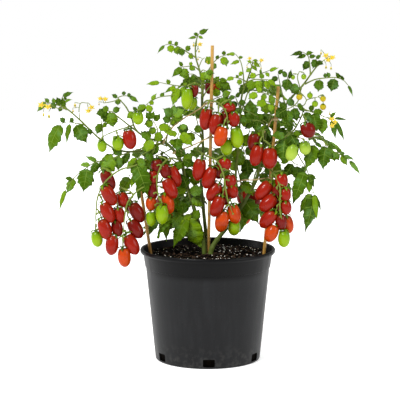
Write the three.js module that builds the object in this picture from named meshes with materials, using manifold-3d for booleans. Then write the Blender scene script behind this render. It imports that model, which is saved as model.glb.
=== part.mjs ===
// A tomato plant in a nursery pot: three bamboo canes, raffia ties, leafy stems, fruit trusses.
// Millimetres, +Z up, origin at the centre of the pot's foot, -Y is the front.
import * as THREE from 'three';
import { mergeVertices } from 'three/addons/utils/BufferGeometryUtils.js';
import Module from 'manifold-3d';

const wasm = await Module();
wasm.setup();

// --- pot and soil ---
const RIM_RADIUS = 139;
const POT_HEIGHT = 230;
const LIP_DEPTH = 9;
const COLLAR_TOP_RADIUS = 133.5;
const COLLAR_BOTTOM_RADIUS = 129;
const COLLAR_BOTTOM = 192;
const COLLAR_STEP = 1.6;
const FOOT_RADIUS = 108;
const FOOT_ROUNDING = 3;
const WALL = 2.2;
const POT_SIDES = 30;
const DRAIN_COUNT = 6;
const DRAIN_WIDTH = 24;
const DRAIN_TOP = 20;
const DRAIN_BOTTOM = 4;
const DRAIN_FIRST_DEG = 271;
const SOIL_TOP = 216;
const SOIL_LUMP = 2.2;
const GAP = 0.3;

// --- plant ---
const BLADE_THICKNESS = 0.8;
const PEDICEL_RADIUS = 1.25;
const FRUIT_SIDES = 6;
const FRUIT_FACET = 1.06; // a six-sided fruit is drawn this much wider, so its mean girth is true
const FRUIT_FULLNESS = 1.06; // width of a fruit against the width in the table
const PRESS_LOW = 0.8; // fruits of a truss are pressed into a neighbour by this much
const PRESS_HIGH = 1.8;
const DEPTH_STEP = 0.4;
const DEPTH_STEPS = 200;
const RIPE = ['red', 'dark', 'orange'];
const CALYX_RIM = [8, 2.6, 8, 2.6, 8, 2.6, 8, 2.6, 8, 2.6]; // sepal tips and the notches between
const CALYX_SWEEP = -2.4;
const BUD_RIM = [1.9, 1.9, 1.9, 1.9];
const CALYX_HEIGHT = 1.2;
const CALYX_LIFT = 0.8;
const PETAL = 9.5;
const PETAL_INNER = 3.6;
const ANTHERS = 6;
const CANE_RADIUS = 3.6;
const CANE_SIDES = 8;
const RAFFIA = 1.3;

// --- front elevation grid ---
// Stems, leaves and fruit are laid out on a grid of 400 by 400 squares, columns from the left and
// rows from the top, seen along sight lines from a point in front of the plant. The third number
// of a grid point is its depth in mm, + to the back.
const SIGHT_FROM = new THREE.Vector3(-16, -3300, 790);
const SIGHT_TO = new THREE.Vector3(-16, 0, 329);
const GRID_FOCUS = 1626;
const GRID_MIDDLE = 200;
const GRID_SQUARE = 2.03;

const AHEAD = SIGHT_TO.clone().sub(SIGHT_FROM).normalize();
const RIGHT = new THREE.Vector3(1, 0, 0);
const UP = RIGHT.clone().cross(AHEAD);

function at([column, row, depth]) {
  const ray = AHEAD.clone().multiplyScalar(GRID_FOCUS)
    .addScaledVector(RIGHT, column - GRID_MIDDLE)
    .addScaledVector(UP, GRID_MIDDLE - row);
  return SIGHT_FROM.clone().addScaledVector(ray, (depth - SIGHT_FROM.y) / ray.y);
}

// stem: [node, radius at the foot, radius at the tip, grid points]
const STEMS = [
  ["stem_left", 5.6, 2.6, [[205, 262, 0], [203, 240, 0], [196, 215, 2], [187, 186, 0], [179, 158, -12],
    [164, 142, -18], [148, 139, -20]]],
  ["stem_centre", 4.6, 2.4, [[209, 262, 22], [206, 235, 22], [203, 205, 20], [201, 175, 18],
    [203, 150, 16], [202, 120, 14], [202, 96, 8]]],
  ["stem_right", 5.8, 2.4, [[209, 262, -12], [212, 248, -8], [217, 240, -5], [228, 226, -4],
      [243, 204, 4],
    [256, 180, 8], [262, 155, 8], [265, 135, 6], [272, 118, 2]]],
  ["shoot_far_left", 2.4, 1.3, [[164, 142, -18], [140, 151, -15], [118, 150, -12], [100, 139, -8],
    [82, 122, -8], [72, 113, -8], [64, 107, -8], [58, 105, -9]]],
  ["shoot_left", 2.4, 1.2, [[148, 139, -20], [136, 130, -18], [131, 117, -15], [126, 107, -12],
    [120, 100, -10]]],
  ["shoot_left", 1.9, 1.3, [[146, 138, -20], [131, 127, -23], [118, 117, -24], [109, 112, -26]]],
  ["shoot_top", 2.4, 1.2, [[202, 98, 8], [202, 88, 6], [200, 72, 2], [196, 58, 0], [195.5, 45, 0],
    [197.5, 36, 0]]],
  ["shoot_top_right", 3.2, 1.2, [[243, 204, 5], [236, 182, 9], [238, 150, 12], [240, 120, 12],
    [242, 95, 6], [248, 78, 2], [253, 62, 0]]],
  ["shoot_right", 2.6, 1.3, [[271, 120, 2], [283, 108, 0], [292, 97, 0], [303, 85, 0], [311, 74, 0],
    [318, 65, 0], [322, 61, 0]]],
  ["shoot_low_right", 2.6, 1.4, [[263, 152, 8], [276, 143, -4], [288, 136, -12], [300, 134, -17],
    [312, 138, -19], [320, 137, -22], [326, 144, -26]]],
  ["shoot_low_right", 1.8, 1.3, [[288, 137, -12], [296, 127, -14], [302, 115, -12], [304, 108, -10]]],
];

// leaf: [node, grid points along the rib, blades]; blade: [place along the rib, tip column,
// tip row, width in squares]
const LEAVES = [
  ["shoot_far_left", [[92, 131, -8], [84, 125, -14], [75, 123, -18], [67, 122, -20], [61, 124, -22]],
    [[0.5, 86, 142, 14], [0.12, 91, 135, 5], [0.65, 66.5, 142, 6], [0.55, 70, 118, 5], [0.8, 60, 118, 5],
      [1, 49.5, 151, 14]]],
  ["shoot_far_left", [[66, 109, -8], [60, 106, -10], [52, 103.5, -12], [46, 101.5, -12]],
    [[1, 37.5, 111, 6], [0.25, 59, 111.5, 4], [0.3, 57, 97.5, 6], [0.55, 53, 98, 4], [0.1, 62, 98, 5],
      [0.45, 51, 106, 6], [0.8, 45, 98.5, 4]]],
  ["shoot_far_left", [[67, 110, -8], [64, 103, -6], [62.5, 96.5, -4]],
    [[1, 72.5, 92.5, 4.5], [0.55, 71.5, 99.5, 3.5], [0.8, 67, 98, 3]]],
  ["shoot_left", [[121, 101, -10], [118, 98, -8], [122, 96, -6], [129, 96, -4]],
    [[1, 138, 102, 4.5], [0.35, 112, 94.5, 4], [0.75, 124, 92.5, 4], [0.3, 118, 103, 7.5],
      [0.9, 131, 94.5, 4]]],
  ["shoot_left", [[118, 117, -24], [112, 112, -27], [108, 111, -29]],
    [[1, 96, 114, 8], [0.9, 113, 127, 13], [0.5, 119.5, 108, 6], [0.75, 103, 122, 6], [0.9, 103, 107, 6]]],
  ["shoot_far_left", [[103, 141, -8], [102.5, 128, -10], [101, 119, -10]],
    [[0.8, 97, 134, 8], [1, 105, 113, 4], [0.6, 107, 124, 5]]],
  ["shoot_left", [[134, 122, -16], [134, 114, -18], [138, 110, -20]],
    [[0.7, 127, 118, 7], [1, 146, 108.5, 6], [0.9, 133, 107, 4]]],
  ["shoot_far_left", [[121, 148, -11], [106, 159, -20], [94, 163, -27], [82, 171, -31], [73, 179, -33],
    [66, 189, -33]],
    [[0.15, 103, 172, 14], [0.32, 91, 174, 8], [0.33, 86, 156.5, 5], [0.5, 83.5, 191, 16],
      [0.45, 80, 165, 5], [0.75, 67, 192.5, 9], [0.8, 65, 178, 4], [1, 59.5, 209, 4.5]]],
  ["shoot_far_left", [[134, 151, -15], [124, 154, -30], [114, 158, -38]],
    [[1, 102, 174, 15], [0.7, 118, 170, 9], [0.55, 112, 149, 8], [0.95, 103, 158, 8],
      [0.3, 123, 165, 7]]],
  ["stem_left", [[164, 142, -18], [152, 149, -34], [140, 156, -44], [135, 161, -47]],
    [[1, 147, 194, 17], [0.75, 127, 169, 8], [0.7, 143, 169, 8], [0.45, 151, 161, 8],
      [0.3, 141, 148, 7]]],
  ["stem_left", [[181, 164, -10], [160, 166, 4], [142, 171, 2], [128, 176, -4]],
    [[0.95, 121, 193, 12], [0.6, 138, 200, 12], [0.8, 131, 187, 7], [0.4, 150, 186, 10]]],
  ["stem_left", [[158, 140, -19], [157, 128, -30], [152, 119, -35]],
    [[1, 147, 113.5, 7], [0.8, 146, 124, 8], [0.85, 160, 114, 6], [0.5, 171, 128, 10],
      [0.45, 148, 132, 7],
      [1, 154, 111.5, 5]]],
  ["stem_left", [[166, 143, -18], [169, 128, -25], [173, 116, -28]],
    [[0.95, 174, 105, 8], [1, 163.5, 109, 9], [1, 184, 110, 9], [0.9, 182, 118, 8], [0.85, 165, 119, 8],
      [0.7, 174, 122, 8]]],
  ["stem_left", [[180, 160, -12], [177, 142, -28], [180, 129, -34]],
    [[0.9, 192, 145, 10], [1, 187, 125, 6], [0.7, 177, 147, 11], [0.8, 165, 132, 8], [0.5, 169, 142, 6]]],
  ["stem_left", [[167, 146, -18], [158, 143, -30], [151, 139, -34]],
    [[1, 143, 133, 10], [1, 147, 150, 11], [0.6, 160, 132, 9], [0.5, 154, 154, 9]]],
  ["shoot_top", [[195, 57, 0], [187, 52, -4], [178, 46.5, -8], [170, 44, -10], [165, 45, -10]],
    [[0.2, 192, 57, 6], [0.3, 190, 46, 5], [0.42, 182, 56, 7], [0.55, 177.5, 54, 7], [0.62, 178, 42.5, 4],
      [0.75, 171.5, 52, 7], [0.85, 171.5, 41, 4], [1, 158, 53, 3.5]]],
  ["shoot_top", [[196, 46, 0], [197, 38, 0], [199, 33.5, 0]],
    [[1, 208, 29, 5], [0.7, 203, 38.5, 3], [0.6, 188.5, 38.5, 3], [0.9, 195, 34, 4]]],
  ["shoot_top", [[199, 70, 2], [193, 66, -6], [187, 66.5, -10], [182, 67, -12]],
    [[0.9, 184, 75, 11], [1, 172.5, 76.5, 6], [0.5, 191, 63, 4], [0.55, 195, 70, 5],
      [0.95, 179, 61.5, 4]]],
  ["shoot_top", [[200, 73, 2], [203, 70, -4], [206, 71, -7]],
    [[1, 210, 79, 8], [0.8, 203, 82, 8], [1, 214, 73, 5]]],
  ["shoot_top", [[200, 80, 4], [194, 74.5, -3], [189, 74, -6]],
    [[1, 184.5, 80.5, 3.5], [0.5, 192, 80, 5]]],
  ["shoot_top", [[201, 82, 5], [208, 71, 16], [214, 62, 20], [220, 57, 20], [226, 55, 18]],
    [[0.42, 208, 59, 8], [0.5, 213.5, 67.5, 7], [0.6, 218, 56, 4], [0.85, 225.5, 62.5, 9],
      [1, 233, 53, 3],
      [0.9, 224, 51.5, 4]]],
  ["stem_centre", [[202, 98, 9], [212, 84, 18], [219, 80, 18]],
    [[0.95, 231, 90, 8], [0.8, 222, 88, 7], [0.7, 219, 76.5, 5], [1, 227, 81, 5]]],
  ["shoot_top", [[202, 88, 6], [192, 85, -4], [181, 86, -10], [170, 84.5, -14], [160, 82.5, -16]],
    [[1, 147, 84, 4.5], [0.75, 167, 79.5, 4], [0.7, 173, 91, 6], [0.55, 173, 105, 9], [0.6, 165, 92.5, 4],
      [0.4, 180, 97, 7], [0.35, 184, 83.5, 4]]],
  ["shoot_top", [[202, 93, 7], [186, 93, -12], [172, 95.5, -16], [160, 97, -19], [151, 101, -20],
    [146, 105, -20]],
    [[0.6, 164, 92.5, 4], [0.75, 151, 103.5, 5], [1, 137, 110.5, 7], [0.95, 151, 112.5, 7],
      [0.8, 156, 94, 4]]],
  ["stem_centre", [[202, 106, 10], [214, 99, 20], [222, 96, 22]],
    [[1, 231, 92, 7], [0.9, 231, 108, 12], [0.7, 216, 91, 8], [0.8, 221, 107, 8]]],
  ["shoot_top_right", [[244, 88, 4], [243, 72, 4], [240, 60, 4], [235.5, 54, 2]],
    [[1, 228, 54, 3.5], [0.65, 231, 64, 4.5], [0.8, 243, 57, 3], [0.35, 239, 76, 4]]],
  ["shoot_top_right", [[250, 73, 1], [252, 65, 0], [253, 60, 0]],
    [[1, 258, 61, 3], [0.7, 247, 61, 3], [0.8, 260, 67, 4], [0.5, 257, 71, 4], [0.3, 246, 72, 4]]],
  ["shoot_top_right", [[247, 82, 2], [240, 78.5, -4], [234, 77.5, -8]],
    [[1, 226, 80.5, 4.5], [0.5, 239, 85, 5], [0.6, 236, 75, 3]]],
  ["shoot_top_right", [[247, 82, 2], [254, 79.5, -6], [262, 79.5, -10], [268, 79.5, -12]],
    [[0.3, 249, 90, 9], [0.35, 252, 73.5, 6], [0.6, 258, 88, 9], [0.65, 262, 75, 5], [0.9, 268, 90, 7],
      [1, 276, 86, 5]]],
  ["shoot_top_right", [[249, 78, 2], [260, 74, 6], [269, 70.5, 6]],
    [[1, 278, 68, 4.5], [0.5, 261, 69, 3], [0.8, 269, 77, 4]]],
  ["shoot_right", [[284, 107, 0], [279, 101, -24], [264, 93, -26], [257, 92.5, -26]],
    [[1, 249, 98, 8], [0.8, 258, 87.5, 5], [0.6, 262, 99, 7]]],
  ["shoot_right", [[281, 110, 0], [276, 106, -24], [266, 101, -30]],
    [[1, 257, 106, 9], [0.6, 269, 95, 7], [0.8, 271, 109, 7]]],
  ["shoot_top_right", [[241, 110, 11], [237, 101, 2], [235, 96, -2]],
    [[1, 228.5, 99, 5], [0.8, 240, 92, 4], [0.5, 231, 108, 7], [0.4, 246, 103, 6], [0.2, 236, 115, 6]]],
  ["stem_right", [[269, 124, 4], [258, 117, -12], [249, 112, -24], [243, 110, -28]],
    [[1, 233, 111, 7], [0.6, 246, 105, 5], [0.7, 248, 120, 6]]],
  ["stem_right", [[268, 127, 4], [260, 121, -18], [252, 120, -28]],
    [[1, 238, 121, 8], [0.6, 256, 129, 9], [0.5, 262, 114, 5], [0.85, 245, 129, 7], [0.2, 271, 138, 5]]],
  ["shoot_right", [[310.5, 75, 0], [309.5, 63, -2], [308, 56, -4], [303, 52, -4]],
    [[1, 291, 55.5, 4.5], [0.75, 297, 58, 4.5], [0.45, 303.5, 70, 7], [0.85, 313, 52.5, 4],
      [0.6, 316, 56, 4]]],
  ["shoot_right", [[318, 65, 0], [316, 59, -4]],
    [[1, 313, 68, 7], [0.7, 323, 64, 5], [1, 321, 55, 4]]],
  ["shoot_right", [[305, 84, 0], [315, 79.5, -4], [325, 78, -6], [335, 77.5, -8], [343, 80, -8],
    [348, 85, -8]],
    [[0.3, 319, 87.5, 10], [0.42, 325, 74, 4], [0.6, 331.5, 90, 11], [0.5, 327, 72.5, 4],
      [0.72, 336, 72.5, 4], [0.85, 340, 75, 3], [1, 352.5, 95.5, 3]]],
  ["shoot_right", [[295, 94, 0], [292, 84, -8], [287, 77, -12]],
    [[0.95, 286, 91, 10], [0.6, 298, 95, 9], [1, 282, 71, 5], [0.8, 291, 70, 4]]],
  ["shoot_right", [[285, 105, 1], [280, 84, 12], [278, 74, 12]],
    [[1, 283, 69.5, 4], [0.8, 272, 79, 6], [0.5, 275, 90, 6]]],
  ["shoot_right", [[301, 88, 0], [298, 101, -14], [292, 107, -24], [287, 109, -27]],
    [[1, 276, 116, 11], [0.9, 287, 122.5, 11], [0.6, 297, 121, 9], [0.7, 290, 99, 8], [0.4, 304, 112, 6],
      [1, 280, 103, 8]]],
  ["shoot_low_right", [[303, 109, -10], [309, 111, -19], [313, 113, -23]],
    [[1, 317, 131, 13], [0.7, 305, 120, 9], [0.9, 323, 112, 7], [0.6, 313, 105, 5]]],
  ["shoot_low_right", [[304, 110, -10], [316, 112.5, -16], [325, 117, -20], [334, 118, -21]],
    [[0.6, 322, 134, 10], [0.9, 335.5, 138, 6], [1, 347, 120, 3], [0.85, 336, 112.5, 4],
      [0.95, 344, 140, 5]]],
  ["shoot_low_right", [[296, 134, -16], [290, 132, -30], [285, 137, -35]],
    [[1, 283, 163, 17], [0.6, 298, 151, 13], [0.9, 272, 136, 9], [0.5, 290, 124, 8], [0.3, 301, 135, 6]]],
  ["shoot_low_right", [[314, 138, -19], [315, 144, -26]],
    [[1, 306, 168, 14], [0.7, 322, 148, 4]]],
  ["shoot_low_right", [[324, 141, -25], [326, 146, -30]],
    [[1, 323.5, 169, 14], [0.9, 335, 161, 8], [0.8, 319, 156, 6]]],
  ["shoot_low_right", [[326, 144, -26], [333, 151, -29], [341, 155, -29], [349, 160, -29]],
    [[0.35, 339, 160, 8], [0.3, 329.5, 141.5, 4], [0.65, 347, 165, 6], [0.7, 354, 160, 4.5],
      [0.6, 345, 153, 4], [1, 360, 174, 4.5]]],
  ["shoot_low_right", [[278, 142, -5], [286, 153, -12], [294, 163, -16], [302, 166, -18]],
    [[0.65, 285, 176, 10], [1, 305, 172, 6], [0.8, 297, 180, 10], [0.5, 281, 163, 6]]],
  ["shoot_low_right", [[289, 135, -12], [300, 158, -22], [307, 170, -26], [310, 182, -28],
      [314, 194, -28]],
    [[0.45, 293, 203, 13], [0.55, 314, 187, 6], [0.7, 309, 193, 6], [0.6, 316, 179, 5], [1, 306, 230, 14],
      [0.95, 300, 212, 9], [1, 320.5, 210, 4], [1, 317, 219.5, 6]]],
  ["shoot_top_right", [[237, 165, 12], [241, 185, 16], [243, 205, 14]],
    [[1, 240, 232, 12], [0.8, 258, 222, 18], [0.5, 228, 200, 10], [0.4, 252, 195, 12],
      [0.2, 246, 178, 10],
      [0.9, 232, 222, 9]]],
  ["stem_left", [[194, 208, 1], [190, 198, -6], [187, 188, -8]],
    [[1, 183, 178, 12], [0.9, 176, 190, 10], [0.7, 199, 190, 12], [0.4, 182, 208, 12],
      [0.5, 203, 206, 10]]],
  ["stem_left", [[199, 228, 1], [190, 219, -8], [182, 214, -12]],
    [[1, 173, 226, 14], [0.9, 181, 203, 12], [0.6, 190, 238, 14], [0.4, 199, 210, 10],
      [0.8, 171, 212, 10]]],
  ["stem_left", [[185, 178, -5], [184, 165, -18], [182, 158, -20]],
    [[1, 180, 150, 10], [0.8, 191, 156, 9], [0.7, 176, 167, 9], [0.9, 192, 165, 10]]],
  ["shoot_top_right", [[238, 155, 12], [248, 137, 24], [251, 121, 26]],
    [[1, 250, 100, 14], [0.9, 263, 115, 12], [0.8, 240, 114, 10], [0.5, 262, 138, 13],
      [0.4, 235, 140, 12],
      [0.2, 236, 157, 12]]],
  ["stem_right", [[263, 152, 8], [268, 124, 18], [270, 113, 18]],
    [[1, 262, 103, 10], [0.9, 277, 106, 9], [0.75, 261, 122, 9], [0.5, 257, 140, 9],
      [0.6, 281, 130, 10]]],
  ["stem_right", [[260, 172, 8], [270, 152, 20], [277, 140, 20]],
    [[1, 285, 128, 12], [0.7, 262, 133, 12], [0.6, 290, 152, 14], [0.3, 249, 166, 12],
      [0.3, 282, 172, 12]]],
  ["stem_left", [[171, 149, -15], [163, 153, -9], [154, 156, -5]],
    [[1, 145, 169, 13], [0.85, 149, 146, 9], [0.6, 163, 166, 13]]],
  ["stem_centre", [[202, 138, 15], [195, 133, 8], [189, 130, 2]],
    [[1, 177, 127, 10], [0.8, 190, 143, 9], [0.5, 200, 127, 8]]],
  ["stem_centre", [[201, 178, 18], [195, 171, 14], [191, 167, 12]],
    [[1, 184, 155, 10], [0.8, 184, 177, 11], [0.6, 199, 160, 10], [0.4, 194, 186, 11]]],
  ["shoot_top_right", [[238.5, 143, 12], [243, 149, 24], [246, 158, 32]],
    [[1, 248, 178, 14], [0.7, 233, 166, 12], [0.6, 255, 152, 10], [0.4, 248, 134, 10],
      [0.3, 230, 143, 9]]],
  ["shoot_top_right", [[237, 178, 9], [231, 172, 16], [227, 167, 18]],
    [[1, 222, 156, 10], [0.8, 221, 178, 9], [0.6, 236, 162, 9]]],
  ["stem_right", [[257, 178, 8], [263, 172, 16], [268, 169, 18]],
    [[1, 279, 175, 11], [0.8, 268, 159, 10], [0.6, 263, 184, 10]]],
  ["stem_right", [[258, 174, 8], [268, 176, 24], [278, 179, 34]],
    [[1, 290, 197, 13], [0.8, 289, 172, 12], [0.6, 275, 198, 12], [0.35, 273, 165, 9]]],
  ["stem_left", [[195, 211, 1], [190, 214, -8], [187, 217, -12]],
    [[1, 201, 247, 18], [0.8, 174, 245, 14], [0.3, 180, 226, 8]]],
  ["stem_left", [[188, 190, 1], [174, 196, 2], [163, 204, 4]],
    [[1, 148, 236, 12], [0.85, 166, 239, 13], [0.5, 180, 222, 11]]],
];

// truss: [node of its green parts, node of its ripe fruit, radius of the axis, grid points of the
// axis, fruits]; fruit: [column, row, depth, lean in degrees (+ tip to the right), width, length,
// tone], width and length in squares
const TRUSSES = [
  ["truss_left_outer", "fruit_left_outer", 1.8, [[158, 141, -19], [150, 156, -36], [136, 165, -50],
    [120, 170, -60], [106, 181, -64], [98, 196, -66], [96, 212, -66], [96, 230, -60]],
    [[109, 195, -62, 28, 12.5, 23, "red"], [108, 180, -52, 24, 12.5, 22, "dark"],
      [107.4, 213, -60, 24, 12.5, 22.5, "red"], [104.6, 231, -60, 17, 12.5, 22.5, "red"],
      [119.3, 215, -50, 12, 11, 17, "red"], [117.2, 228, -52, 12, 11, 17, "dark"],
      [113.4, 247.6, -60, -6, 12.5, 21, "red"], [97, 238.6, -52, 8, 11, 16.5, "green"]]],
  ["truss_left_inner", "fruit_left_inner", 1.8, [[184, 176, -4], [172, 180, -14], [156, 183, -34],
    [140, 189, -54], [128, 202, -66], [125, 215, -70], [123, 237, -68]],
    [[135.5, 228.5, -44, 32, 13, 21.5, "dark"], [137, 211.5, -42, 30, 13, 22.5, "dark"],
      [131.5, 244, -50, 28, 13, 23, "red"], [129, 206, -34, 14, 10, 16, "dark"],
      [122.5, 199.5, -46, 14, 12, 16, "red"],
      [124.3, 257, -54, 6, 12.5, 20, "orange"]]],
  ["truss_left", "fruit_left", 1.7, [[179.5, 160, -12], [171, 158, -26], [162, 165, -46], [157, 178, -52],
    [158, 194, -52], [160, 204, -50]],
    [[170, 188, -42, 27, 12.5, 22.5, "red"], [174, 176, -34, 22, 12.5, 23, "red"],
      [167.7, 203, -40, 14, 12, 21.5, "orange"], [165, 171, -28, 10, 10, 15, "dark"],
      [157, 166, -30, 2, 12, 15, "dark"],
      [153.3, 177.5, -32, 2, 10, 15, "red"], [152.3, 192, -34, 4, 11, 19, "dark"],
      [151, 204.5, -36, 2, 10.5, 14, "orange"], [162, 214, -44, 0, 12, 20, "green"],
      [151, 218.5, -38, 2, 10, 15, "green"]]],
  ["truss_top", "fruit_top", 1.7, [[202, 108, 10], [206, 101, -8], [214, 101, -18], [220, 104, -34],
    [226, 112, -44], [228, 122, -46]],
    [[215.7, 123.8, -34, -12, 12.5, 22, "red"], [206, 118.7, -30, -8, 12.5, 22.5, "red"],
      [220.8, 136, -38, -15, 12.5, 21, "orange"], [225.5, 118, -22, -4, 11, 16, "dark"],
      [233.6, 119.3, -30, 4, 11.5, 15, "red"],
      [229, 107.5, -26, -8, 12.5, 11, "red"], [236.8, 137.2, -34, 8, 12.5, 21.5, "green"],
      [226.6, 146.8, -28, 0, 12, 17, "green"]]],
  ["truss_centre", "fruit_centre", 1.8, [[202, 142, 15], [197, 149, -4], [207, 156, -22], [216, 160, -40],
    [222, 170, -52], [224.6, 181, -58], [226, 191, -60], [228, 201, -58], [233, 214, -50]],
    [[209.3, 177.4, -38, -22, 12.5, 23, "red"], [198.5, 168.5, -34, -10, 12.5, 23, "red"],
      [213.8, 191.5, -40, -32, 12.5, 21, "red"], [217.4, 206, -42, -24, 12.5, 22.5, "red"],
      [222, 220.8, -44, -13, 13, 22.5, "orange"], [225, 196, -26, 4, 10, 18, "dark"],
      [236, 212.5, -36, 14, 12.5, 20, "orange"],
      [232.9, 191.5, -32, 10, 10, 14, "red"], [229.7, 178, -32, 8, 11, 14, "red"],
      [218, 171, -26, 6, 10, 16, "dark"], [224.6, 164, -28, 2, 12.5, 13, "red"],
      [234, 227, -40, 0, 12, 17, "green"]]],
  ["truss_mid", "fruit_mid", 1.7, [[264.5, 137, 6], [267, 130, -8], [263, 132, -22], [264, 142, -28]],
    [[256.5, 155, -34, -14, 12.5, 22, "red"], [254, 141.7, -26, -8, 12.5, 19, "dark"],
      [271.5, 158, -34, -2, 15, 21.5, "red"]]],
  ["truss_right", "fruit_right", 1.8, [[261, 162, 8], [266, 166, -12], [275, 175, -34], [280, 188, -50],
    [280, 199, -54], [280, 210, -54], [283, 224, -48]],
    [[268.2, 203, -38, -46, 13, 21, "red"], [263.8, 190.4, -34, -38, 13, 22.5, "red"],
      [268.2, 220, -40, -40, 13, 22.5, "red"], [272, 235.2, -42, -26, 12.5, 19, "orange"],
      [277, 192, -28, 4, 10.5, 16, "dark"],
      [278.5, 207, -28, 4, 10.5, 17, "dark"], [281, 222, -28, 8, 10.5, 17, "dark"],
      [282, 179.7, -34, 4, 12.5, 16, "red"], [285.2, 194.6, -36, 4, 11, 14, "red"],
      [285.8, 207.3, -38, 6, 11, 14.5, "red"], [287.5, 224, -36, 12, 11.5, 19, "orange"],
      [284, 238.6, -42, 0, 11.5, 17.5, "green"]]],
  ["shoot_top", "fruit_high_left", 1.3, [[202, 88, 6], [196, 83, -6], [191, 84, -14], [187, 86, -16]],
    [[187, 98.3, -22, -3, 11, 22, "green"], [192, 103.5, -10, -8, 10, 14, "green"],
      [194.6, 90.6, -12, -4, 7.5, 13, "dark"]]],
  ["shoot_top", "fruit_high_back", 1.3, [[201.5, 84, 5], [206, 79, 18], [212, 79, 24], [214, 81, 25]],
    [[208.7, 88, 26, 0, 7.5, 12, "dark"], [215, 89, 26, 0, 8, 12, "orange"]]],
  ["shoot_left", "fruit_far_left", 1.4, [[133, 125, -17], [128, 127, -34], [118, 130, -38],
      [108, 134, -38],
    [102, 137, -36]],
    [[129.6, 139, -42, 10, 13, 20, "red"], [118, 143.5, -42, 4, 11, 14, "green"],
      [102, 146, -40, 4, 9, 12, "green"]]],
  ["shoot_left", "none", 1.3, [[131.5, 118, -16], [137, 124, -30], [143, 118, -36], [139, 110, -38]],
    [[138, 118, -42, 4, 10.5, 13, "green"]]],
  ["shoot_low_right", "fruit_far_right", 1.4, [[300, 118, -13], [303, 115, -24], [306, 119, -32]],
    [[308, 130, -38, 20, 14, 16, "dark"]]],
  ["shoot_low_right", "none", 1.4, [[290, 135, -13], [298, 137, -30], [303, 139, -34]],
    [[292, 152, -44, -20, 11.5, 18, "pale"], [305, 148, -42, 6, 11, 13, "pale"]]],
  ["shoot_right", "none", 1.1, [[287, 103, 0], [297, 106, -6], [304, 105, -12], [307, 100, -14],
    [313, 98, -16], [318, 97, -16]],
    [[299.3, 97, -16, 0, 6, 6, "yellow"], [310, 95.5, -18, 0, 5.5, 5.5, "green"],
      [323, 98.7, -18, 0, 5.5, 6, "yellow"], [323, 107, -18, 0, 6, 6, "yellow"],
      [315, 104, -18, 0, 6, 6, "green"]]],
  ["shoot_right", "none", 1, [[300, 88, 0], [297.5, 77, -6], [299, 72, -8]],
    [[303.8, 76.7, -10, 0, 5, 5.5, "green"], [293, 77.3, -8, 0, 4, 4.5, "green"]]],
  ["truss_back_left", "fruit_back_left", 1.8, [[186, 183, 0], [180, 174, 50], [170, 184, 100],
    [165, 200, 116], [165, 222, 116]],
    [[172, 197, 122, 12, 12.5, 22, "red"], [159, 207, 116, -8, 12.5, 22, "dark"],
      [172, 220, 120, 10, 12.5, 22, "orange"]]],
  ["truss_back_right", "fruit_back_right", 1.8, [[256.5, 180, 8], [258, 168, 60], [254, 178, 104],
    [250, 198, 120], [250, 216, 120]],
    [[243, 194, 122, -10, 12.5, 22, "red"], [257, 202, 124, 8, 12.5, 22, "dark"],
      [244, 217, 122, -8, 12.5, 22, "orange"]]],
];

// spray of flowers: [node of its green parts, node of its petals, grid points of the stalk,
// flowers, buds]; flower and bud: [column, row, depth, size]
const SPRAYS = [
  ["shoot_far_left", "flowers_far_left", [[66, 109, -8], [57, 108, -18], [48, 103, -24]],
    [[41.5, 105.5, -30, 1], [47.9, 107.4, -30, 1]], [[43.5, 114.5, -28, 1], [49, 116, -28, 1.2]]],
  ["shoot_far_left", "flowers_left", [[80, 120, -8], [79, 110, -14], [81, 103, -18], [87, 103, -20]],
    [[88.5, 111.5, -24, 0.85], [91.5, 107.8, -24, 0.85]], [[75, 105, -18, 1], [73, 111, -14, 0.8]]],
  ["shoot_left", "flowers_left_top", [[118, 100, -10], [110, 102, -18], [104, 103, -22]],
    [[100.5, 99, -26, 0.8], [105.4, 99.5, -26, 0.8]], [[99, 104, -20, 0.6]]],
  ["shoot_top", "flowers_top", [[196, 52, 0], [198, 48, -7]],
    [[200, 44.7, -10, 0.75]], [[199, 51, -8, 0.8], [193.6, 45, -6, 0.9]]],
  ["shoot_top", "none", [[199, 67, 1], [202, 60, -4], [204, 58, -5]],
    [], [[198, 59, -5, 0.7], [207, 62, -6, 0.6]]],
  ["shoot_top_right", "flowers_right_a", [[252, 67, 0], [250, 62, -6]],
    [[249.7, 58.7, -9, 0.6]], [[247, 67, -4, 0.6]]],
  ["shoot_top_right", "flowers_right_b", [[251, 69, 0], [256, 66, -4], [260, 63.5, -7]],
    [[261.5, 60.6, -10, 0.7]], [[261, 68, -6, 0.6]]],
  ["shoot_right", "flowers_right", [[318, 66, 0], [323, 61, -8], [327, 58, -10]],
    [[326, 56, -14, 0.9], [328.4, 60.3, -14, 0.9], [332.5, 58, -14, 0.9]],
    [[326, 67, -11, 0.9], [331, 68, -11, 0.9], [321, 53, -10, 0.8]]],
  ["shoot_low_right", "flowers_far_right", [[327, 117.5, -20], [331, 120, -28], [334, 122, -30]],
    [[332, 119.5, -35, 0.9], [335, 122.5, -35, 0.85], [332, 126, -35, 0.85]], [[330, 114, -26, 0.7]]],
];

// cane: [node, grid point of the foot, grid point of the top]
const CANES = [
  ["cane_centre", [207.6, 300, 8], [212.4, 45.5, 4]],
  ["cane_right", [260, 300, -14], [278.4, 86.3, -6]],
  ["cane_left", [158, 300, -2], [138, 172, -10]],
];

// tie: [node, cane, row of the loop on the cane, stem, place of the loop along the stem, radius
// of that loop, grid points between]
const TIES = [
  ["tie_upper_left", 0, 101, 0, 0.84, 5.8, [[196, 111, -14], [183, 119, -20], [171, 129, -24]]],
  ["tie_left", 0, 136, 0, 0.72, 6.2, [[200, 142, -14], [191, 146, -18], [182, 149.5, -20]]],
  ["tie_right", 1, 177.5, 7, 0.17, 5.8, [[252, 180, -4], [244, 180, 0]]],
  ["tie_upper_right", 1, 119, 2, 0.9, 5.6, [[270, 123, -4]]],
];

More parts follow.
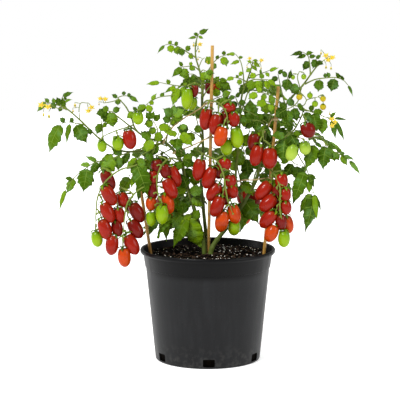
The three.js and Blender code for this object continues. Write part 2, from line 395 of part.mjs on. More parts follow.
// back leaves: [node, grid point on the stem, heading in degrees from +X round to the back,
// length, rise]
const BACK_LEAVES = [
  ["stem_left", [181, 166, -9], 150, 150, 20], ["stem_left", [190, 197, 1], 98, 130, -10],
  ["stem_left", [198, 222, 1], 165, 120, -10],
  ["stem_centre", [202, 168, 17], 75, 150, 20], ["stem_centre", [202, 140, 15], 110, 140, 50],
  ["stem_centre", [202, 115, 13], 85, 130, 60], ["stem_right", [232, 220, -2], 62, 130, 10],
  ["stem_right", [263, 148, 8], 25, 140, 20], ["stem_right", [264, 142, 8], 72, 140, 40],
  ["shoot_top_right", [240, 115, 11], 60, 130, 50],
];
const BACK_BLADE_STEPS = [[0.5, 1], [0.6, -1], [1, 0]];

const COLOURS = {
  pot: [0x23272b, 0.55], soil: [0x1d1713, 0.95], cane: [0xc79a62, 0.6], tie: [0xc9ab77, 0.85],
  stem: [0x3f7d1e, 0.55], shoot: [0x4a8a24, 0.55], truss: [0x7d9a3c, 0.5], fruit: [0xb3200f, 0.25],
  flowers: [0xf0cf12, 0.6],
};

// --- numbers by rule ---
function randomFrom(seed) {
  let state = (seed * 2654435761) >>> 0;
  return () => {
    state = (Math.imul(state, 1664525) + 1013904223) >>> 0;
    return state / 4294967296;
  };
}

// --- solids ---
function toSolid(geometry) {
  const bare = geometry.clone();
  for (const name of Object.keys(bare.attributes)) if (name !== 'position') bare.deleteAttribute(name);
  const merged = mergeVertices(bare, 1e-4);
  const index = merged.index.array;
  const triangles = [];
  for (let i = 0; i < index.length; i += 3) {
    const [a, b, c] = [index[i], index[i + 1], index[i + 2]];
    if (a !== b && b !== c && c !== a) triangles.push(a, b, c);
  }
  const positions = Float32Array.from(merged.attributes.position.array);
  if (signedVolume(positions, triangles) < 0) triangles.reverse();
  return new wasm.Manifold(new wasm.Mesh({
    numProp: 3, vertProperties: positions, triVerts: Uint32Array.from(triangles),
  }));
}

function signedVolume(p, triangles) {
  let volume = 0;
  for (let i = 0; i < triangles.length; i += 3) {
    const [a, b, c] = [triangles[i] * 3, triangles[i + 1] * 3, triangles[i + 2] * 3];
    volume += p[a] * (p[b + 1] * p[c + 2] - p[b + 2] * p[c + 1])
      + p[a + 1] * (p[b + 2] * p[c] - p[b] * p[c + 2])
      + p[a + 2] * (p[b] * p[c + 1] - p[b + 1] * p[c]);
  }
  return volume / 6;
}

const join = (solids) => solids.reduce((all, one) => all.add(one));

const boxesTouch = (p, q) => [0, 1, 2].every((k) => p.min[k] < q.max[k] && q.min[k] < p.max[k]);

// The largest body of a solid, with loose scraps dropped and sealed hollows filled.
function largestBody(solid) {
  const mesh = solid.getMesh();
  const parent = Array.from({ length: mesh.numVert }, (_, i) => i);
  const root = (i) => {
    while (parent[i] !== i) { parent[i] = parent[parent[i]]; i = parent[i]; }
    return i;
  };
  const tri = mesh.triVerts;
  for (let i = 0; i < tri.length; i += 3) {
    parent[root(tri[i])] = root(tri[i + 1]);
    parent[root(tri[i + 1])] = root(tri[i + 2]);
  }
  const bodies = new Map();
  for (let i = 0; i < tri.length; i += 3) {
    const key = root(tri[i]);
    if (!bodies.has(key)) bodies.set(key, []);
    bodies.get(key).push(tri[i], tri[i + 1], tri[i + 2]);
  }
  const [kept] = [...bodies.values()]
    .map((triangles) => ({ triangles, volume: signedVolume(mesh.vertProperties, triangles) }))
    .sort((a, b) => b.volume - a.volume);
  const geometry = new THREE.BufferGeometry();
  geometry.setAttribute('position', new THREE.BufferAttribute(Float32Array.from(mesh.vertProperties), 3));
  geometry.setIndex(kept.triangles);
  return geometry.toNonIndexed();
}

// --- shapes ---
function polygon(radius, sides) {
  const shape = new THREE.Shape();
  for (let i = 0; i < sides; i++) {
    const angle = (2 * Math.PI * i) / sides;
    const [x, y] = [radius * Math.cos(angle), radius * Math.sin(angle)];
    if (i) shape.lineTo(x, y); else shape.moveTo(x, y);
  }
  shape.closePath();
  return shape;
}

function tube(points, footRadius, tipRadius, sides, steps) {
  const path = new THREE.CatmullRomCurve3(points);
  const geometry = new THREE.ExtrudeGeometry(polygon(1, sides), {
    steps, extrudePath: path, bevelEnabled: false,
  });
  const centres = path.getSpacedPoints(steps);
  const position = geometry.attributes.position;
  const vertex = new THREE.Vector3();
  for (let i = 0; i < position.count; i++) {
    vertex.fromBufferAttribute(position, i);
    let nearest = 0;
    centres.forEach((centre, k) => {
      if (centre.distanceToSquared(vertex) < centres[nearest].distanceToSquared(vertex)) nearest = k;
    });
    const radius = THREE.MathUtils.lerp(footRadius, tipRadius, nearest / steps);
    vertex.sub(centres[nearest]).multiplyScalar(radius).add(centres[nearest]);
    position.setXYZ(i, vertex.x, vertex.y, vertex.z);
  }
  return toSolid(geometry);
}

// Leaflet outlines in shares of length and width: the points of one edge between root and tip.
const SMALL_EDGE = [];
const MIDDLE_EDGE = [[0.36, 0.56]];
const LARGE_EDGE = [[0.24, 0.56], [0.6, 0.44]];
const LEAST = 7.5; // smaller leaflets are left to the finer pieces
const MIDDLE_FROM = 8.5;
const LARGE_FROM = 12.5;
const RIB_HALF = 1.2;
const RIB_THICKNESS = 1.8;
const RIB_SPAN = 0.4; // longest step between points of the rib's edge, as a share of its length
const LEAFLET_ROOT = 1.2;
const SHARED_ROOT = 7; // leaflets nearer than this along the rib share a root point
const ARCH = 0.1;
const FOLD = 0.22;

// A leaf is one thin bent sheet: a strip along the rib with a leaflet on each root along it.
class Sheet {
  constructor() {
    this.points = [];
    this.faces = [];
  }

  point(place, normal, thickness) {
    this.points.push([place.clone().addScaledVector(normal, thickness / 2),
      place.clone().addScaledVector(normal, -thickness / 2)]);
    return this.points.length - 1;
  }

  // Faces between two edges of a leaflet, from its root pair to its tip.
  ladder(pairs, tip) {
    for (let i = 1; i < pairs.length; i++) {
      const [[a, b], [c, d]] = [pairs[i - 1], pairs[i]];
      this.faces.push([a, b, d], [a, d, c]);
    }
    const [a, b] = pairs[pairs.length - 1];
    this.faces.push([a, b, tip]);
  }

  solid() {
    const edges = new Map();
    for (const [a, b, c] of this.faces) {
      for (const [p, q] of [[a, b], [b, c], [c, a]]) edges.set(`${p},${q}`, [p, q]);
    }
    const corners = [];
    const add = (...corner) => corners.push(...corner.map(([i, under]) => this.points[i][under]));
    for (const [a, b, c] of this.faces) {
      add([a, 0], [b, 0], [c, 0]);
      add([c, 1], [b, 1], [a, 1]);
    }
    for (const [p, q] of edges.values()) {
      if (edges.has(`${q},${p}`)) continue;
      add([p, 0], [p, 1], [q, 1]);
      add([p, 0], [q, 1], [q, 0]);
    }
    return toSolid(new THREE.BufferGeometry().setFromPoints(corners));
  }
}

function edgeOf(squares) {
  if (squares >= LARGE_FROM) return LARGE_EDGE;
  return squares >= MIDDLE_FROM ? MIDDLE_EDGE : SMALL_EDGE;
}

// leaflet: { share, tip, squares, facing }
function leafSolid(path, leaflets, facing, g) {
  const sheet = new Sheet();
  const length = path.getLength();
  const last = leaflets.reduce((best, one) => (one.share >= best.share ? one : best));
  const side = (one, seenFrom = facing) => {
    const left = seenFrom.clone().cross(path.getTangent(one.share));
    return one.tip.clone().sub(path.getPoint(one.share)).dot(left) > 0 ? 1 : -1;
  };
  const ending = last.tip.clone().sub(path.getPoint(1)).normalize();
  const ribPoint = (share, hand) => {
    const along = path.getTangent(share);
    if (share === 1) along.add(ending).normalize();
    const left = facing.clone().cross(along).normalize();
    const normal = along.clone().cross(left).normalize();
    const place = path.getPoint(share).addScaledVector(left, hand * (RIB_HALF + g));
    if (share === 0) place.addScaledVector(along, -g);
    return sheet.point(place, normal, RIB_THICKNESS + 2 * g);
  };
  const attach = (one, nearRoot, farRoot, hand) => {
    const root = path.getPoint(one.share);
    const ahead = one.tip.clone().sub(root);
    const size = ahead.length();
    ahead.normalize();
    const own = one === last || side(one, one.facing) === side(one) ? one.facing : facing;
    const across = own.clone().cross(ahead).normalize();
    const normal = ahead.clone().cross(across).normalize();
    const width = one.squares * GRID_SQUARE;
    const thickness = BLADE_THICKNESS + 2 * g;
    const bent = (x, y) => sheet.point(root.clone().addScaledVector(ahead, x)
      .addScaledVector(across, y)
      .addScaledVector(normal, ARCH * size * Math.sin((Math.PI * x) / size) - FOLD * Math.abs(y)),
    normal, thickness);
    const pairs = [[nearRoot, farRoot]];
    for (const [x, y] of edgeOf(one.squares)) {
      const reach = y * width + g;
      pairs.push([bent(x * size, -hand * -reach), bent(x * size, -hand * reach)]);
    }
    const tip = bent(size + 2 * g, 0);
    if (hand < 0) sheet.ladder(pairs.map(([p, q]) => [q, p]), tip);
    else sheet.ladder(pairs, tip);
  };
  // Points along one edge of the rib, close enough together to follow its bend.
  const follow = (chain, share, hand) => {
    const [from] = chain[chain.length - 1];
    const steps = Math.ceil((share - from) / RIB_SPAN);
    for (let k = 1; k <= steps; k++) {
      const next = from + ((share - from) * k) / steps;
      chain.push([next, ribPoint(k === steps ? share : next, hand)]);
    }
  };
  const chains = {};
  for (const hand of [1, -1]) {
    const chain = [[0, ribPoint(0, hand)]];
    let from = 0;
    for (const one of leaflets.filter((each) => each !== last && side(each) === hand)
      .sort((p, q) => p.share - q.share)) {
      const half = Math.max(LEAFLET_ROOT, edgeOf(one.squares).length ? 0 : one.squares * 0.5) / length;
      const near = Math.min(Math.max(one.share - half, from), 0.95);
      const far = Math.min(near + 2 * half, 0.98);
      const shared = from > 0 && (near - from) * length < SHARED_ROOT;
      if (!shared) follow(chain, near, hand);
      const [a, b] = [chain[chain.length - 1][1], ribPoint(far, hand)];
      chain.push([far, b]);
      attach(one, a, b, hand);
      from = far;
    }
    follow(chain, 1, hand);
    chains[hand] = chain;
  }
  const [left, right] = [chains[1], chains[-1]];
  attach(last, right[right.length - 1][1], left[left.length - 1][1], -1);
  let [i, j] = [0, 0];
  while (i < left.length - 1 || j < right.length - 1) {
    const onLeft = j === right.length - 1 || (i < left.length - 1 && left[i + 1][0] < right[j + 1][0]);
    if (onLeft) sheet.faces.push([right[j][1], left[i + 1][1], left[i++][1]]);
    else sheet.faces.push([right[j][1], right[++j][1], left[i][1]]);
  }
  return sheet.solid();
}

// A fruit hangs along its axis from a dimpled shoulder to a blunt point.
const DIMPLE = 0.06;
const FRUIT_PROFILE = [[0, DIMPLE], [0.62, 0], [0.98, 0.3], [0.9, 0.72], [0, 1]];

function fruitSolid(fruit, grow) {
  const { top, axis, width, length } = fruit;
  const radius = (width / 2) * FRUIT_FACET + grow * 1.2;
  const profile = FRUIT_PROFILE.map(([r, s]) => new THREE.Vector2(r * radius,
    s * length + (s > 0.5 ? grow : -grow)));
  profile[0].x = 0;
  profile[profile.length - 1].x = 0;
  const geometry = new THREE.LatheGeometry(profile, width < 16 ? 4 : FRUIT_SIDES);
  geometry.applyQuaternion(new THREE.Quaternion().setFromUnitVectors(new THREE.Vector3(0, 1, 0), axis));
  geometry.translate(top.x, top.y, top.z);
  return toSolid(geometry);
}

// A five-pointed star that is thickest in the middle: sepals or petals, facing along an axis.
function star(centre, axis, reach, inner, behind, front, sweep, grow) {
  const rim = 10;
  const geometry = new THREE.LatheGeometry([new THREE.Vector2(0, -behind - grow),
    new THREE.Vector2(1, 0), new THREE.Vector2(0, front + grow)], rim);
  const position = geometry.attributes.position;
  for (let i = 0; i < position.count; i++) {
    const [x, y, z] = [position.getX(i), position.getY(i), position.getZ(i)];
    const distance = Math.hypot(x, z);
    if (distance < 0.5) continue;
    const step = Math.round((Math.atan2(z, x) / (2 * Math.PI)) * rim + rim) % 2;
    const radius = (step ? inner : reach) + grow * 2;
    position.setXYZ(i, (x / distance) * radius, y + (step ? sweep * 0.1 : sweep), (z / distance) * radius);
  }
  geometry.applyQuaternion(new THREE.Quaternion().setFromUnitVectors(new THREE.Vector3(0, 1, 0), axis));
  geometry.translate(centre.x, centre.y, centre.z);
  return toSolid(geometry);
}

// A stalk that ends in a calyx or a bud: a three-sided tube from start, then a rim of points round
// the seat, then a point ahead of it along the axis. In one piece.
function hanger(start, seat, axis, thin, rim, behind, front, sweep, g) {
  const radius = thin + 2 * g;
  const neck = seat.clone().addScaledVector(axis, -behind - g);
  const along = seat.clone().addScaledVector(axis, -behind).sub(start).normalize();
  const helper = Math.abs(along.x) < 0.8 ? new THREE.Vector3(1, 0, 0) : new THREE.Vector3(0, 1, 0);
  const u = helper.clone().cross(along).normalize();
  const v = along.clone().cross(u);
  const around = (centre, k) => centre.clone()
    .addScaledVector(u, radius * Math.cos((2 * Math.PI * k) / 3))
    .addScaledVector(v, radius * Math.sin((2 * Math.PI * k) / 3));
  const p = u.clone().addScaledVector(axis, -u.dot(axis)).normalize();
  const q = axis.clone().cross(p);
  const edge = rim.map((reach, k) => seat.clone()
    .addScaledVector(p, (reach + 2 * g) * Math.cos((2 * Math.PI * k) / rim.length))
    .addScaledVector(q, (reach + 2 * g) * Math.sin((2 * Math.PI * k) / rim.length))
    .addScaledVector(axis, sweep * (reach === rim[0] ? 1 : 0.2)));
  const foot = [0, 1, 2].map((k) => around(start, k));
  const collar = [0, 1, 2].map((k) => around(neck, k));
  const point = seat.clone().addScaledVector(axis, front + g);
  const corners = [foot[0], foot[2], foot[1]];
  for (let k = 0; k < 3; k++) {
    const n = (k + 1) % 3;
    corners.push(foot[k], foot[n], collar[n], foot[k], collar[n], collar[k]);
  }
  const count = rim.length;
  let k = 0;
  for (let i = 0; i < count; i++) {
    const next = (i + 1) % count;
    corners.push(collar[k % 3], edge[next], edge[i], point, edge[i], edge[next]);
    if (k < 3 && (i + 1) / count >= (k + 1) / 3 - 0.12) {
      corners.push(collar[k % 3], collar[(k + 1) % 3], edge[next]);
      k += 1;
    }
  }
  return toSolid(new THREE.BufferGeometry().setFromPoints(corners));
}

// --- layout of the fruit ---
function capsuleGap(a, b) {
  // closest distance between the core segments of two fruits, less their radii
  const core = (f) => {
    const half = Math.max(0.5, f.length / 2 - 0.6 * f.width);
    return [-half, half].map((reach) => f.centre.clone().addScaledVector(f.axis, reach));
  };
  const [p, q] = [core(a), core(b)];
  let best = Infinity;
  for (let i = 0; i <= 8; i++) {
    const onP = p[0].clone().lerp(p[1], i / 8);
    const along = q[1].clone().sub(q[0]);
    const share = THREE.MathUtils.clamp(onP.clone().sub(q[0]).dot(along) / along.lengthSq(), 0, 1);
    best = Math.min(best, onP.distanceTo(q[0].clone().addScaledVector(along, share)));
  }
  return best - 0.47 * (a.width + b.width);
}

function makeFruit([column, row, depth, lean, width, length, tone], random) {
  const angle = THREE.MathUtils.degToRad(lean);
  const forward = (random() - 0.5) * 0.3;
  const axis = new THREE.Vector3(Math.sin(angle), forward, -Math.cos(angle)).normalize();
  const centre = at([column, row, depth]);
  const fruit = { centre, axis, width: width * FRUIT_FULLNESS * GRID_SQUARE, length: length * GRID_SQUARE,
    tone, depth, place: [column, row] };
  return fruit;
}

// Ripe fruits of a truss move in depth until each is pressed against one before it, and slide
// towards the nearest if that isn't enough. Unripe ones move until they hang clear.
function pressTogether(rows, seed) {
  const random = randomFrom(seed);
  const placed = [];
  for (const row of rows) {
    const fruit = makeFruit(row, random);
    const ripe = RIPE.includes(fruit.tone);
    const before = ripe ? placed.filter((other) => RIPE.includes(other.tone)) : placed;
    const press = () => -Math.min(...before.map((other) => capsuleGap(fruit, other)));
    const [low, high] = ripe ? [PRESS_LOW, PRESS_HIGH] : [-Infinity, -GAP];
    if (before.length) {
      let found = false;
      for (let step = 0; step <= DEPTH_STEPS && !found; step++) {
        const shift = (step % 2 ? 1 : -1) * Math.ceil(step / 2) * DEPTH_STEP;
        fruit.centre = at([...fruit.place, fruit.depth + shift]);
        found = press() >= low && press() <= high;
      }
      if (!found) fruit.centre = at([...fruit.place, fruit.depth]);
      if (!found && ripe) {
        const gap = (other) => capsuleGap(fruit, other);
        const nearest = before.reduce((a, b) => (gap(b) < gap(a) ? b : a));
        const from = fruit.centre.clone();
        for (let share = 0.02; share < 0.9 && press() < PRESS_LOW; share += 0.02) {
          fruit.centre = from.clone().lerp(nearest.centre, share);
        }
      }
    }
    placed.push(fruit);
  }
  for (const fruit of placed) {
    fruit.top = fruit.centre.clone().addScaledVector(fruit.axis, -fruit.length / 2);
  }
  return placed;
}

// --- growing the plant into solids ---
// Layers are grown in this order, and each solid is cut clear of other nodes' earlier ones.
const LAYERS = ['held', 'stem', 'stalk', 'fruit', 'calyx', 'star', 'leaf'];
const grown = [];

function grow(node, layer, make) {
  const [solid, fat] = [make(0), make(GAP)];
  grown.push({ node, layer, solid, fat, box: fat.boundingBox() });
}

function growStems() {
  for (const [name, foot, tip, points] of STEMS) {
    const steps = Math.round(1.5 * (points.length - 1));
    const sides = foot > 4 ? 6 : 4;
    grow(name, 'stem', (g) => tube(points.map(at), foot + g * 1.5, tip + g * 1.5, sides, steps));
  }
}

function leafFacing(random) {
  return new THREE.Vector3((random() - 0.5) * 0.9, -1, 0.15 + random() * 0.7).normalize();
}

function growLeaves() {
  LEAVES.forEach(([name, rib, blades], number) => {
    const random = randomFrom(number + 11);
    const path = new THREE.CatmullRomCurve3(rib.map(at));
    const leaflets = blades.map(([share, column, row, squares]) => {
      const root = path.getPoint(share);
      const lean = (random() - 0.62) * 0.8;
      const rough = at([column, row, root.y]);
      const tip = at([column, row, root.y + lean * rough.distanceTo(root)]);
      return { share, tip, squares, facing: leafFacing(random) };
    });
    const facing = leafFacing(random);
    const cut = leaflets.filter((one) => one.squares >= LEAST || one.share === 1);
    grow(name, 'leaf', (g) => leafSolid(path, cut, facing, g));
  });
}

function growBackLeaves() {
  BACK_LEAVES.forEach(([name, foot, heading, length, rise], number) => {
    const random = randomFrom(number + 211);
    const start = at(foot);
    const angle = THREE.MathUtils.degToRad(heading);
    const out = new THREE.Vector3(Math.cos(angle), Math.sin(angle), 0);
    const path = new THREE.CatmullRomCurve3([start,
      start.clone().addScaledVector(out, length * 0.45).setZ(start.z + rise + 14),
      start.clone().addScaledVector(out, length).setZ(start.z + rise - 8)]);
    const across = new THREE.Vector3(-out.y, out.x, 0);
    const facing = new THREE.Vector3(out.x * 0.6, out.y * 0.6, 1).normalize();
    const leaflets = BACK_BLADE_STEPS.map(([share, hand]) => {
      const size = 40 + 14 * random();
      const tip = path.getPoint(share).addScaledVector(across, hand * size)
        .addScaledVector(out, size * (hand ? 0.35 : 1));
      tip.z -= size * (0.35 + 0.4 * random());
      return { share, tip, squares: 13 + 5 * random(), facing };
    });
    grow(name, 'leaf', (g) => leafSolid(path, leaflets, facing, g));
  });
}

function pedicel(path, target, up) {
  const wanted = target.clone().add(up);
  let start = path.getPoint(0);
  for (let i = 0; i <= 24; i++) {
    const p = path.getPoint(i / 24);
    if (p.distanceTo(wanted) < start.distanceTo(wanted)) start = p;
  }
  return [start, start.clone().lerp(target, 0.5).addScaledVector(up, 0.28), target];
}

const PEDICEL_UP = new THREE.Vector3(0, 0, 14);
const DOWN = new THREE.Vector3(0, 0, -1);

function growTrusses() {
  TRUSSES.forEach(([green, ripe, radius, axis, rows], number) => {
    const points = axis.map(at);
    const path = new THREE.CatmullRomCurve3(points);
    const fruits = pressTogether(rows, number + 401);
    const steps = Math.round(1.5 * (points.length - 1));
    grow(green, 'stalk', (g) => tube(points, radius + g * 2, radius * 0.8 + g * 2, 3, steps));
    for (const fruit of fruits) {
      const up = PEDICEL_UP.clone().multiplyScalar(Math.min(1, fruit.length / 40));
      const ripeFruit = RIPE.includes(fruit.tone);
      const below = ripeFruit ? -CALYX_LIFT : DIMPLE * fruit.length + 2;
      const seat = fruit.top.clone().addScaledVector(fruit.axis, below);
      const [start] = pedicel(path, seat, up);
      const thin = fruit.width < 14 ? 0.9 : PEDICEL_RADIUS;
      if (!ripeFruit) {
        grow(green, 'stalk', (g) => tube([start, seat], thin + g * 2, thin + g * 2, 3, 1));
        grow(green, 'fruit', (g) => fruitSolid(fruit, g));
      } else {
        const sized = Math.min(1, fruit.width / 24);
        grow(ripe, 'fruit', (g) => fruitSolid(fruit, g));
        const rim = CALYX_RIM.map((reach) => reach * sized);
        const intoDimple = CALYX_LIFT + DIMPLE * fruit.length - 1.2 * GAP;
        grow(green, 'calyx', (g) => hanger(start, seat, fruit.axis, thin, rim, CALYX_HEIGHT, intoDimple,
          CALYX_SWEEP, g));
      }
    }
  });
}

function growSprays() {
  for (const [green, petals, stalk, flowers, buds] of SPRAYS) {
    const points = stalk.map(at);
    const path = new THREE.CatmullRomCurve3(points);
    grow(green, 'stalk', (g) => tube(points, 1.1 + g * 1.5, 0.9 + g * 1.5, 3, points.length - 1));
    flowers.forEach(([column, row, depth, size], number) => {
      const centre = at([column, row, depth]);
      const facing = new THREE.Vector3(0.1, -0.75, -0.6).normalize();
      const back = centre.clone().addScaledVector(facing, -1.2);
      const bend = pedicel(path, back, new THREE.Vector3(0, 0, 4));
      grow(green, 'stalk', (g) => tube(bend, 0.8 + g * 2, 0.8 + g * 2, 3, 1));
      grow(`${petals}_${number + 1}`, 'star', (g) => star(centre, facing, PETAL * size,
        PETAL_INNER * size, 1.2, ANTHERS * size, -2.6, g));
    });
    for (const [column, row, depth, size] of buds) {
      const centre = at([column, row, depth]);
      const rim = BUD_RIM.map((reach) => reach * size);
      const [start] = pedicel(path, centre, new THREE.Vector3(0, 0, 8));
      grow(green, 'stalk', (g) => hanger(start, centre, DOWN, 0.8, rim, 3 * size, 5 * size, 0, g));
    }
  }
}

function growCanes() {
  for (const [name, foot, top] of CANES) {
    grow(name, 'held', (g) => tube([at(foot), at(top)], CANE_RADIUS + g, CANE_RADIUS + g, CANE_SIDES, 1));
  }
}

function ring(centre, along, radius, g) {
  const geometry = new THREE.TorusGeometry(radius, RAFFIA + g * 1.5, 3, 8);
  geometry.applyQuaternion(new THREE.Quaternion().setFromUnitVectors(new THREE.Vector3(0, 0, 1), along));
  geometry.translate(centre.x, centre.y, centre.z);
  return toSolid(geometry);
}

// A share of a direction square to an axis.
const squareTo = (direction, axis) => direction.clone()
  .addScaledVector(axis, -direction.dot(axis)).normalize();

function growTies() {
  for (const [name, caneNumber, row, stemNumber, place, loop, between] of TIES) {
    const [, foot, top] = CANES[caneNumber];
    const onCane = at(foot).lerp(at(top), (foot[1] - row) / (foot[1] - top[1]));
    const along = at(top).sub(at(foot)).normalize();
    const stem = new THREE.CatmullRomCurve3(STEMS[stemNumber][3].map(at));
    const [onStem, stemAlong] = [stem.getPoint(place), stem.getTangent(place)];
    const caneLoop = CANE_RADIUS + RAFFIA * 1.6 + GAP;
    const towards = squareTo(at(between[0]).sub(onCane), along);
    const away = squareTo(at(between[between.length - 1]).sub(onStem), stemAlong);
    const strand = [onCane.clone().addScaledVector(towards, caneLoop), ...between.map(at),
      onStem.clone().addScaledVector(away, loop)];
    grow(name, 'held', (g) => ring(onCane, along, caneLoop, g));
    grow(name, 'held', (g) => ring(onStem, stemAlong, loop, g));
    grow(name, 'held', (g) => tube(strand, RAFFIA + g * 2, RAFFIA + g * 2, 3, strand.length));
  }
}

// --- pot and soil ---
function wallRadius(z) {
  return FOOT_RADIUS + ((COLLAR_BOTTOM_RADIUS - COLLAR_STEP - FOOT_RADIUS) * z) / COLLAR_BOTTOM;
}

function potSolid(g) {
  const lipBottom = POT_HEIGHT - LIP_DEPTH;
  const profile = [
    [0, 0], [FOOT_RADIUS - FOOT_ROUNDING, 0], [wallRadius(FOOT_ROUNDING), FOOT_ROUNDING],
    [wallRadius(COLLAR_BOTTOM), COLLAR_BOTTOM], [COLLAR_BOTTOM_RADIUS, COLLAR_BOTTOM + 0.8],
    [COLLAR_TOP_RADIUS, lipBottom], [RIM_RADIUS - 1, lipBottom], [RIM_RADIUS, lipBottom + 3],
    [RIM_RADIUS - 1.5, POT_HEIGHT], [COLLAR_TOP_RADIUS, POT_HEIGHT],
    [COLLAR_TOP_RADIUS - WALL, lipBottom], [COLLAR_BOTTOM_RADIUS - WALL - COLLAR_STEP, COLLAR_BOTTOM],
    [wallRadius(WALL) - WALL, WALL], [0, WALL],
  ];
  const inner = profile.findIndex(([r, z]) => r === COLLAR_TOP_RADIUS && z === POT_HEIGHT);
  const lathe = new THREE.LatheGeometry(profile.map(([r, z], i) => new THREE.Vector2(
    r && r + (i < inner ? g : -g), z + (z === POT_HEIGHT ? g : 0))), POT_SIDES);
  lathe.rotateX(Math.PI / 2);
  return toSolid(lathe);
}

function drains() {
  const cuts = [];
  for (let i = 0; i < DRAIN_COUNT; i++) {
    const angle = THREE.MathUtils.degToRad(DRAIN_FIRST_DEG + (360 / DRAIN_COUNT) * i);
    const box = new THREE.BoxGeometry(20, DRAIN_WIDTH, DRAIN_TOP - DRAIN_BOTTOM);
    box.rotateZ(angle);
    const [x, y] = [FOOT_RADIUS * Math.cos(angle), FOOT_RADIUS * Math.sin(angle)];
    box.translate(x, y, (DRAIN_TOP + DRAIN_BOTTOM) / 2);
    cuts.push(toSolid(box));
  }
  return cuts;
}

function soilSolid() {
  const random = randomFrom(5);
  const inside = (z) => wallRadius(z) - WALL - GAP - 0.3;
  const profile = [[0, WALL + GAP], [inside(WALL), WALL + GAP], [inside(COLLAR_BOTTOM), COLLAR_BOTTOM],
    [COLLAR_TOP_RADIUS - WALL - 4, SOIL_TOP - 3], [62, SOIL_TOP + 1], [0, SOIL_TOP + 1]];
  const lathe = new THREE.LatheGeometry(profile.map(([r, z]) => new THREE.Vector2(r, z)), POT_SIDES);
  const position = lathe.attributes.position;
  const lumps = new Map();
  for (let i = 0; i < position.count; i++) {
    const [x, y, z] = [position.getX(i), position.getY(i), position.getZ(i)];
    if (y < SOIL_TOP - 0.5) continue;
    const key = `${Math.round(x)},${Math.round(z)}`;
    if (!lumps.has(key)) lumps.set(key, (random() - 0.5) * 2 * SOIL_LUMP);
    position.setY(i, y + lumps.get(key));
  }
  lathe.rotateX(Math.PI / 2);
  return toSolid(lathe);
}

// --- assembly ---
const plant = new THREE.Group();
plant.name = 'tomato_plant_in_pot';

function put(name, solid, [colour, roughness]) {
  const material = new THREE.MeshStandardMaterial({ color: colour, roughness, metalness: 0 });
  const mesh = new THREE.Mesh(largestBody(solid), material);
  mesh.name = name;
  plant.add(mesh);
}

growCanes();
growTies();
growStems();
growTrusses();
growSprays();
growLeaves();
growBackLeaves();

put('pot', potSolid(0).subtract(join(drains())), COLOURS.pot);
const potFat = potSolid(GAP);
const done = [{ node: 'pot', fat: potFat, box: potFat.boundingBox() }];
const bodies = new Map();
for (const layer of LAYERS) {
  const names = [...new Set(grown.filter((one) => one.layer === layer).map((one) => one.node))];
  for (const name of names) {
    const own = grown.filter((one) => one.layer === layer && one.node === name);
    for (const one of own) {
      let solid = one.solid;
      for (const other of done) {
        if (other.node === name || !boxesTouch(one.box, other.box)) continue;
        solid = solid.subtract(other.fat);
      }
      bodies.set(name, bodies.has(name) ? bodies.get(name).add(solid) : solid);
    }
    done.push(...own);
  }
}
const colourOf = (name) => COLOURS[Object.keys(COLOURS).find((key) => name.startsWith(key))];
for (const [name, solid] of bodies) put(name, solid, colourOf(name));

const standing = grown.filter((one) => one.layer === 'stem' || one.node.startsWith('cane'));
put('soil', standing.reduce((left, one) => left.subtract(one.fat), soilSolid()), COLOURS.soil);

export default plant;
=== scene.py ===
"""Dresses the potted tomato plant: the pot, its potting mix, canes, ties, leafy shoots, fruit and flowers."""
import logging
from dataclasses import dataclass, field
from enum import Enum
from math import ceil, cos, exp, inf, pi, radians, sin, sqrt, tau
from typing import Callable, ClassVar, Iterable, Sequence

import bpy
import numpy as np
from bpy.types import Material, Mesh, Modifier, Node, NodeSocket, NodeTree, Object
from mathutils import Matrix, Vector


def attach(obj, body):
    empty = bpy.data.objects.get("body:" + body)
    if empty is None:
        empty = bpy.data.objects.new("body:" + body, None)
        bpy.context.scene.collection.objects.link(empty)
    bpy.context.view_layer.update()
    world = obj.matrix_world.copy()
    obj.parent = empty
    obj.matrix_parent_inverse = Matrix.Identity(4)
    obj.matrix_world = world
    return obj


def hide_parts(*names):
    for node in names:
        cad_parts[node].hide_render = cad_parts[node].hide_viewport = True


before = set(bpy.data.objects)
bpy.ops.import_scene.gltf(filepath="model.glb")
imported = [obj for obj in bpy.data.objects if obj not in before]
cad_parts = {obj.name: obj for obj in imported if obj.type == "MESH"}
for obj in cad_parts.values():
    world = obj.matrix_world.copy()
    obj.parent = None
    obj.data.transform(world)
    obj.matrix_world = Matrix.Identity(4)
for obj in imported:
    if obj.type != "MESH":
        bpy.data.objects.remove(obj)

log = logging.getLogger("tomato_plant")

MM = 0.001
BODY = "root"
GridPoint = Sequence[float]

# Front elevation grid: 400 by 400 squares, columns from the left and rows from the top, seen along
# sight lines from a point in front of the plant. A third number is a depth in mm, + to the back.
SIGHT_FROM = Vector((-16, -3300, 790))
SIGHT_TO = Vector((-16, 0, 329))
GRID_FOCUS = 1626
GRID_WIDTH = 400
GRID_SQUARE = 2.03
AHEAD = (SIGHT_TO - SIGHT_FROM).normalized()
RIGHT = Vector((1, 0, 0))
UP = RIGHT.cross(AHEAD)

# Sizes shared with the solids, in mm
RIM_RADIUS = 139
POT_HEIGHT = 230
LIP_DEPTH = 9
COLLAR_TOP_RADIUS = 133.5
COLLAR_BOTTOM_RADIUS = 129
COLLAR_BOTTOM = 192
COLLAR_STEP = 1.6
FOOT_RADIUS = 108
FOOT_ROUNDING = 3
WALL = 2.2
DRAIN_COUNT = 6
DRAIN_WIDTH = 24
DRAIN_TOP = 20
DRAIN_BOTTOM = 4
DRAIN_FIRST_DEG = 271
SOIL_TOP = 216
CANE_RADIUS = 3.6
RAFFIA = 1.3
DIMPLE = 0.06
ARCH = 0.1
FOLD = 0.22
PEDICEL_RADIUS = 1.25
FRUIT_FULLNESS = 1.06
PRESS_LOW = 0.8
PRESS_HIGH = 1.8
GAP = 0.3
DEPTH_STEP = 0.4
DEPTH_STEPS = 200
NUDGE = 0.02

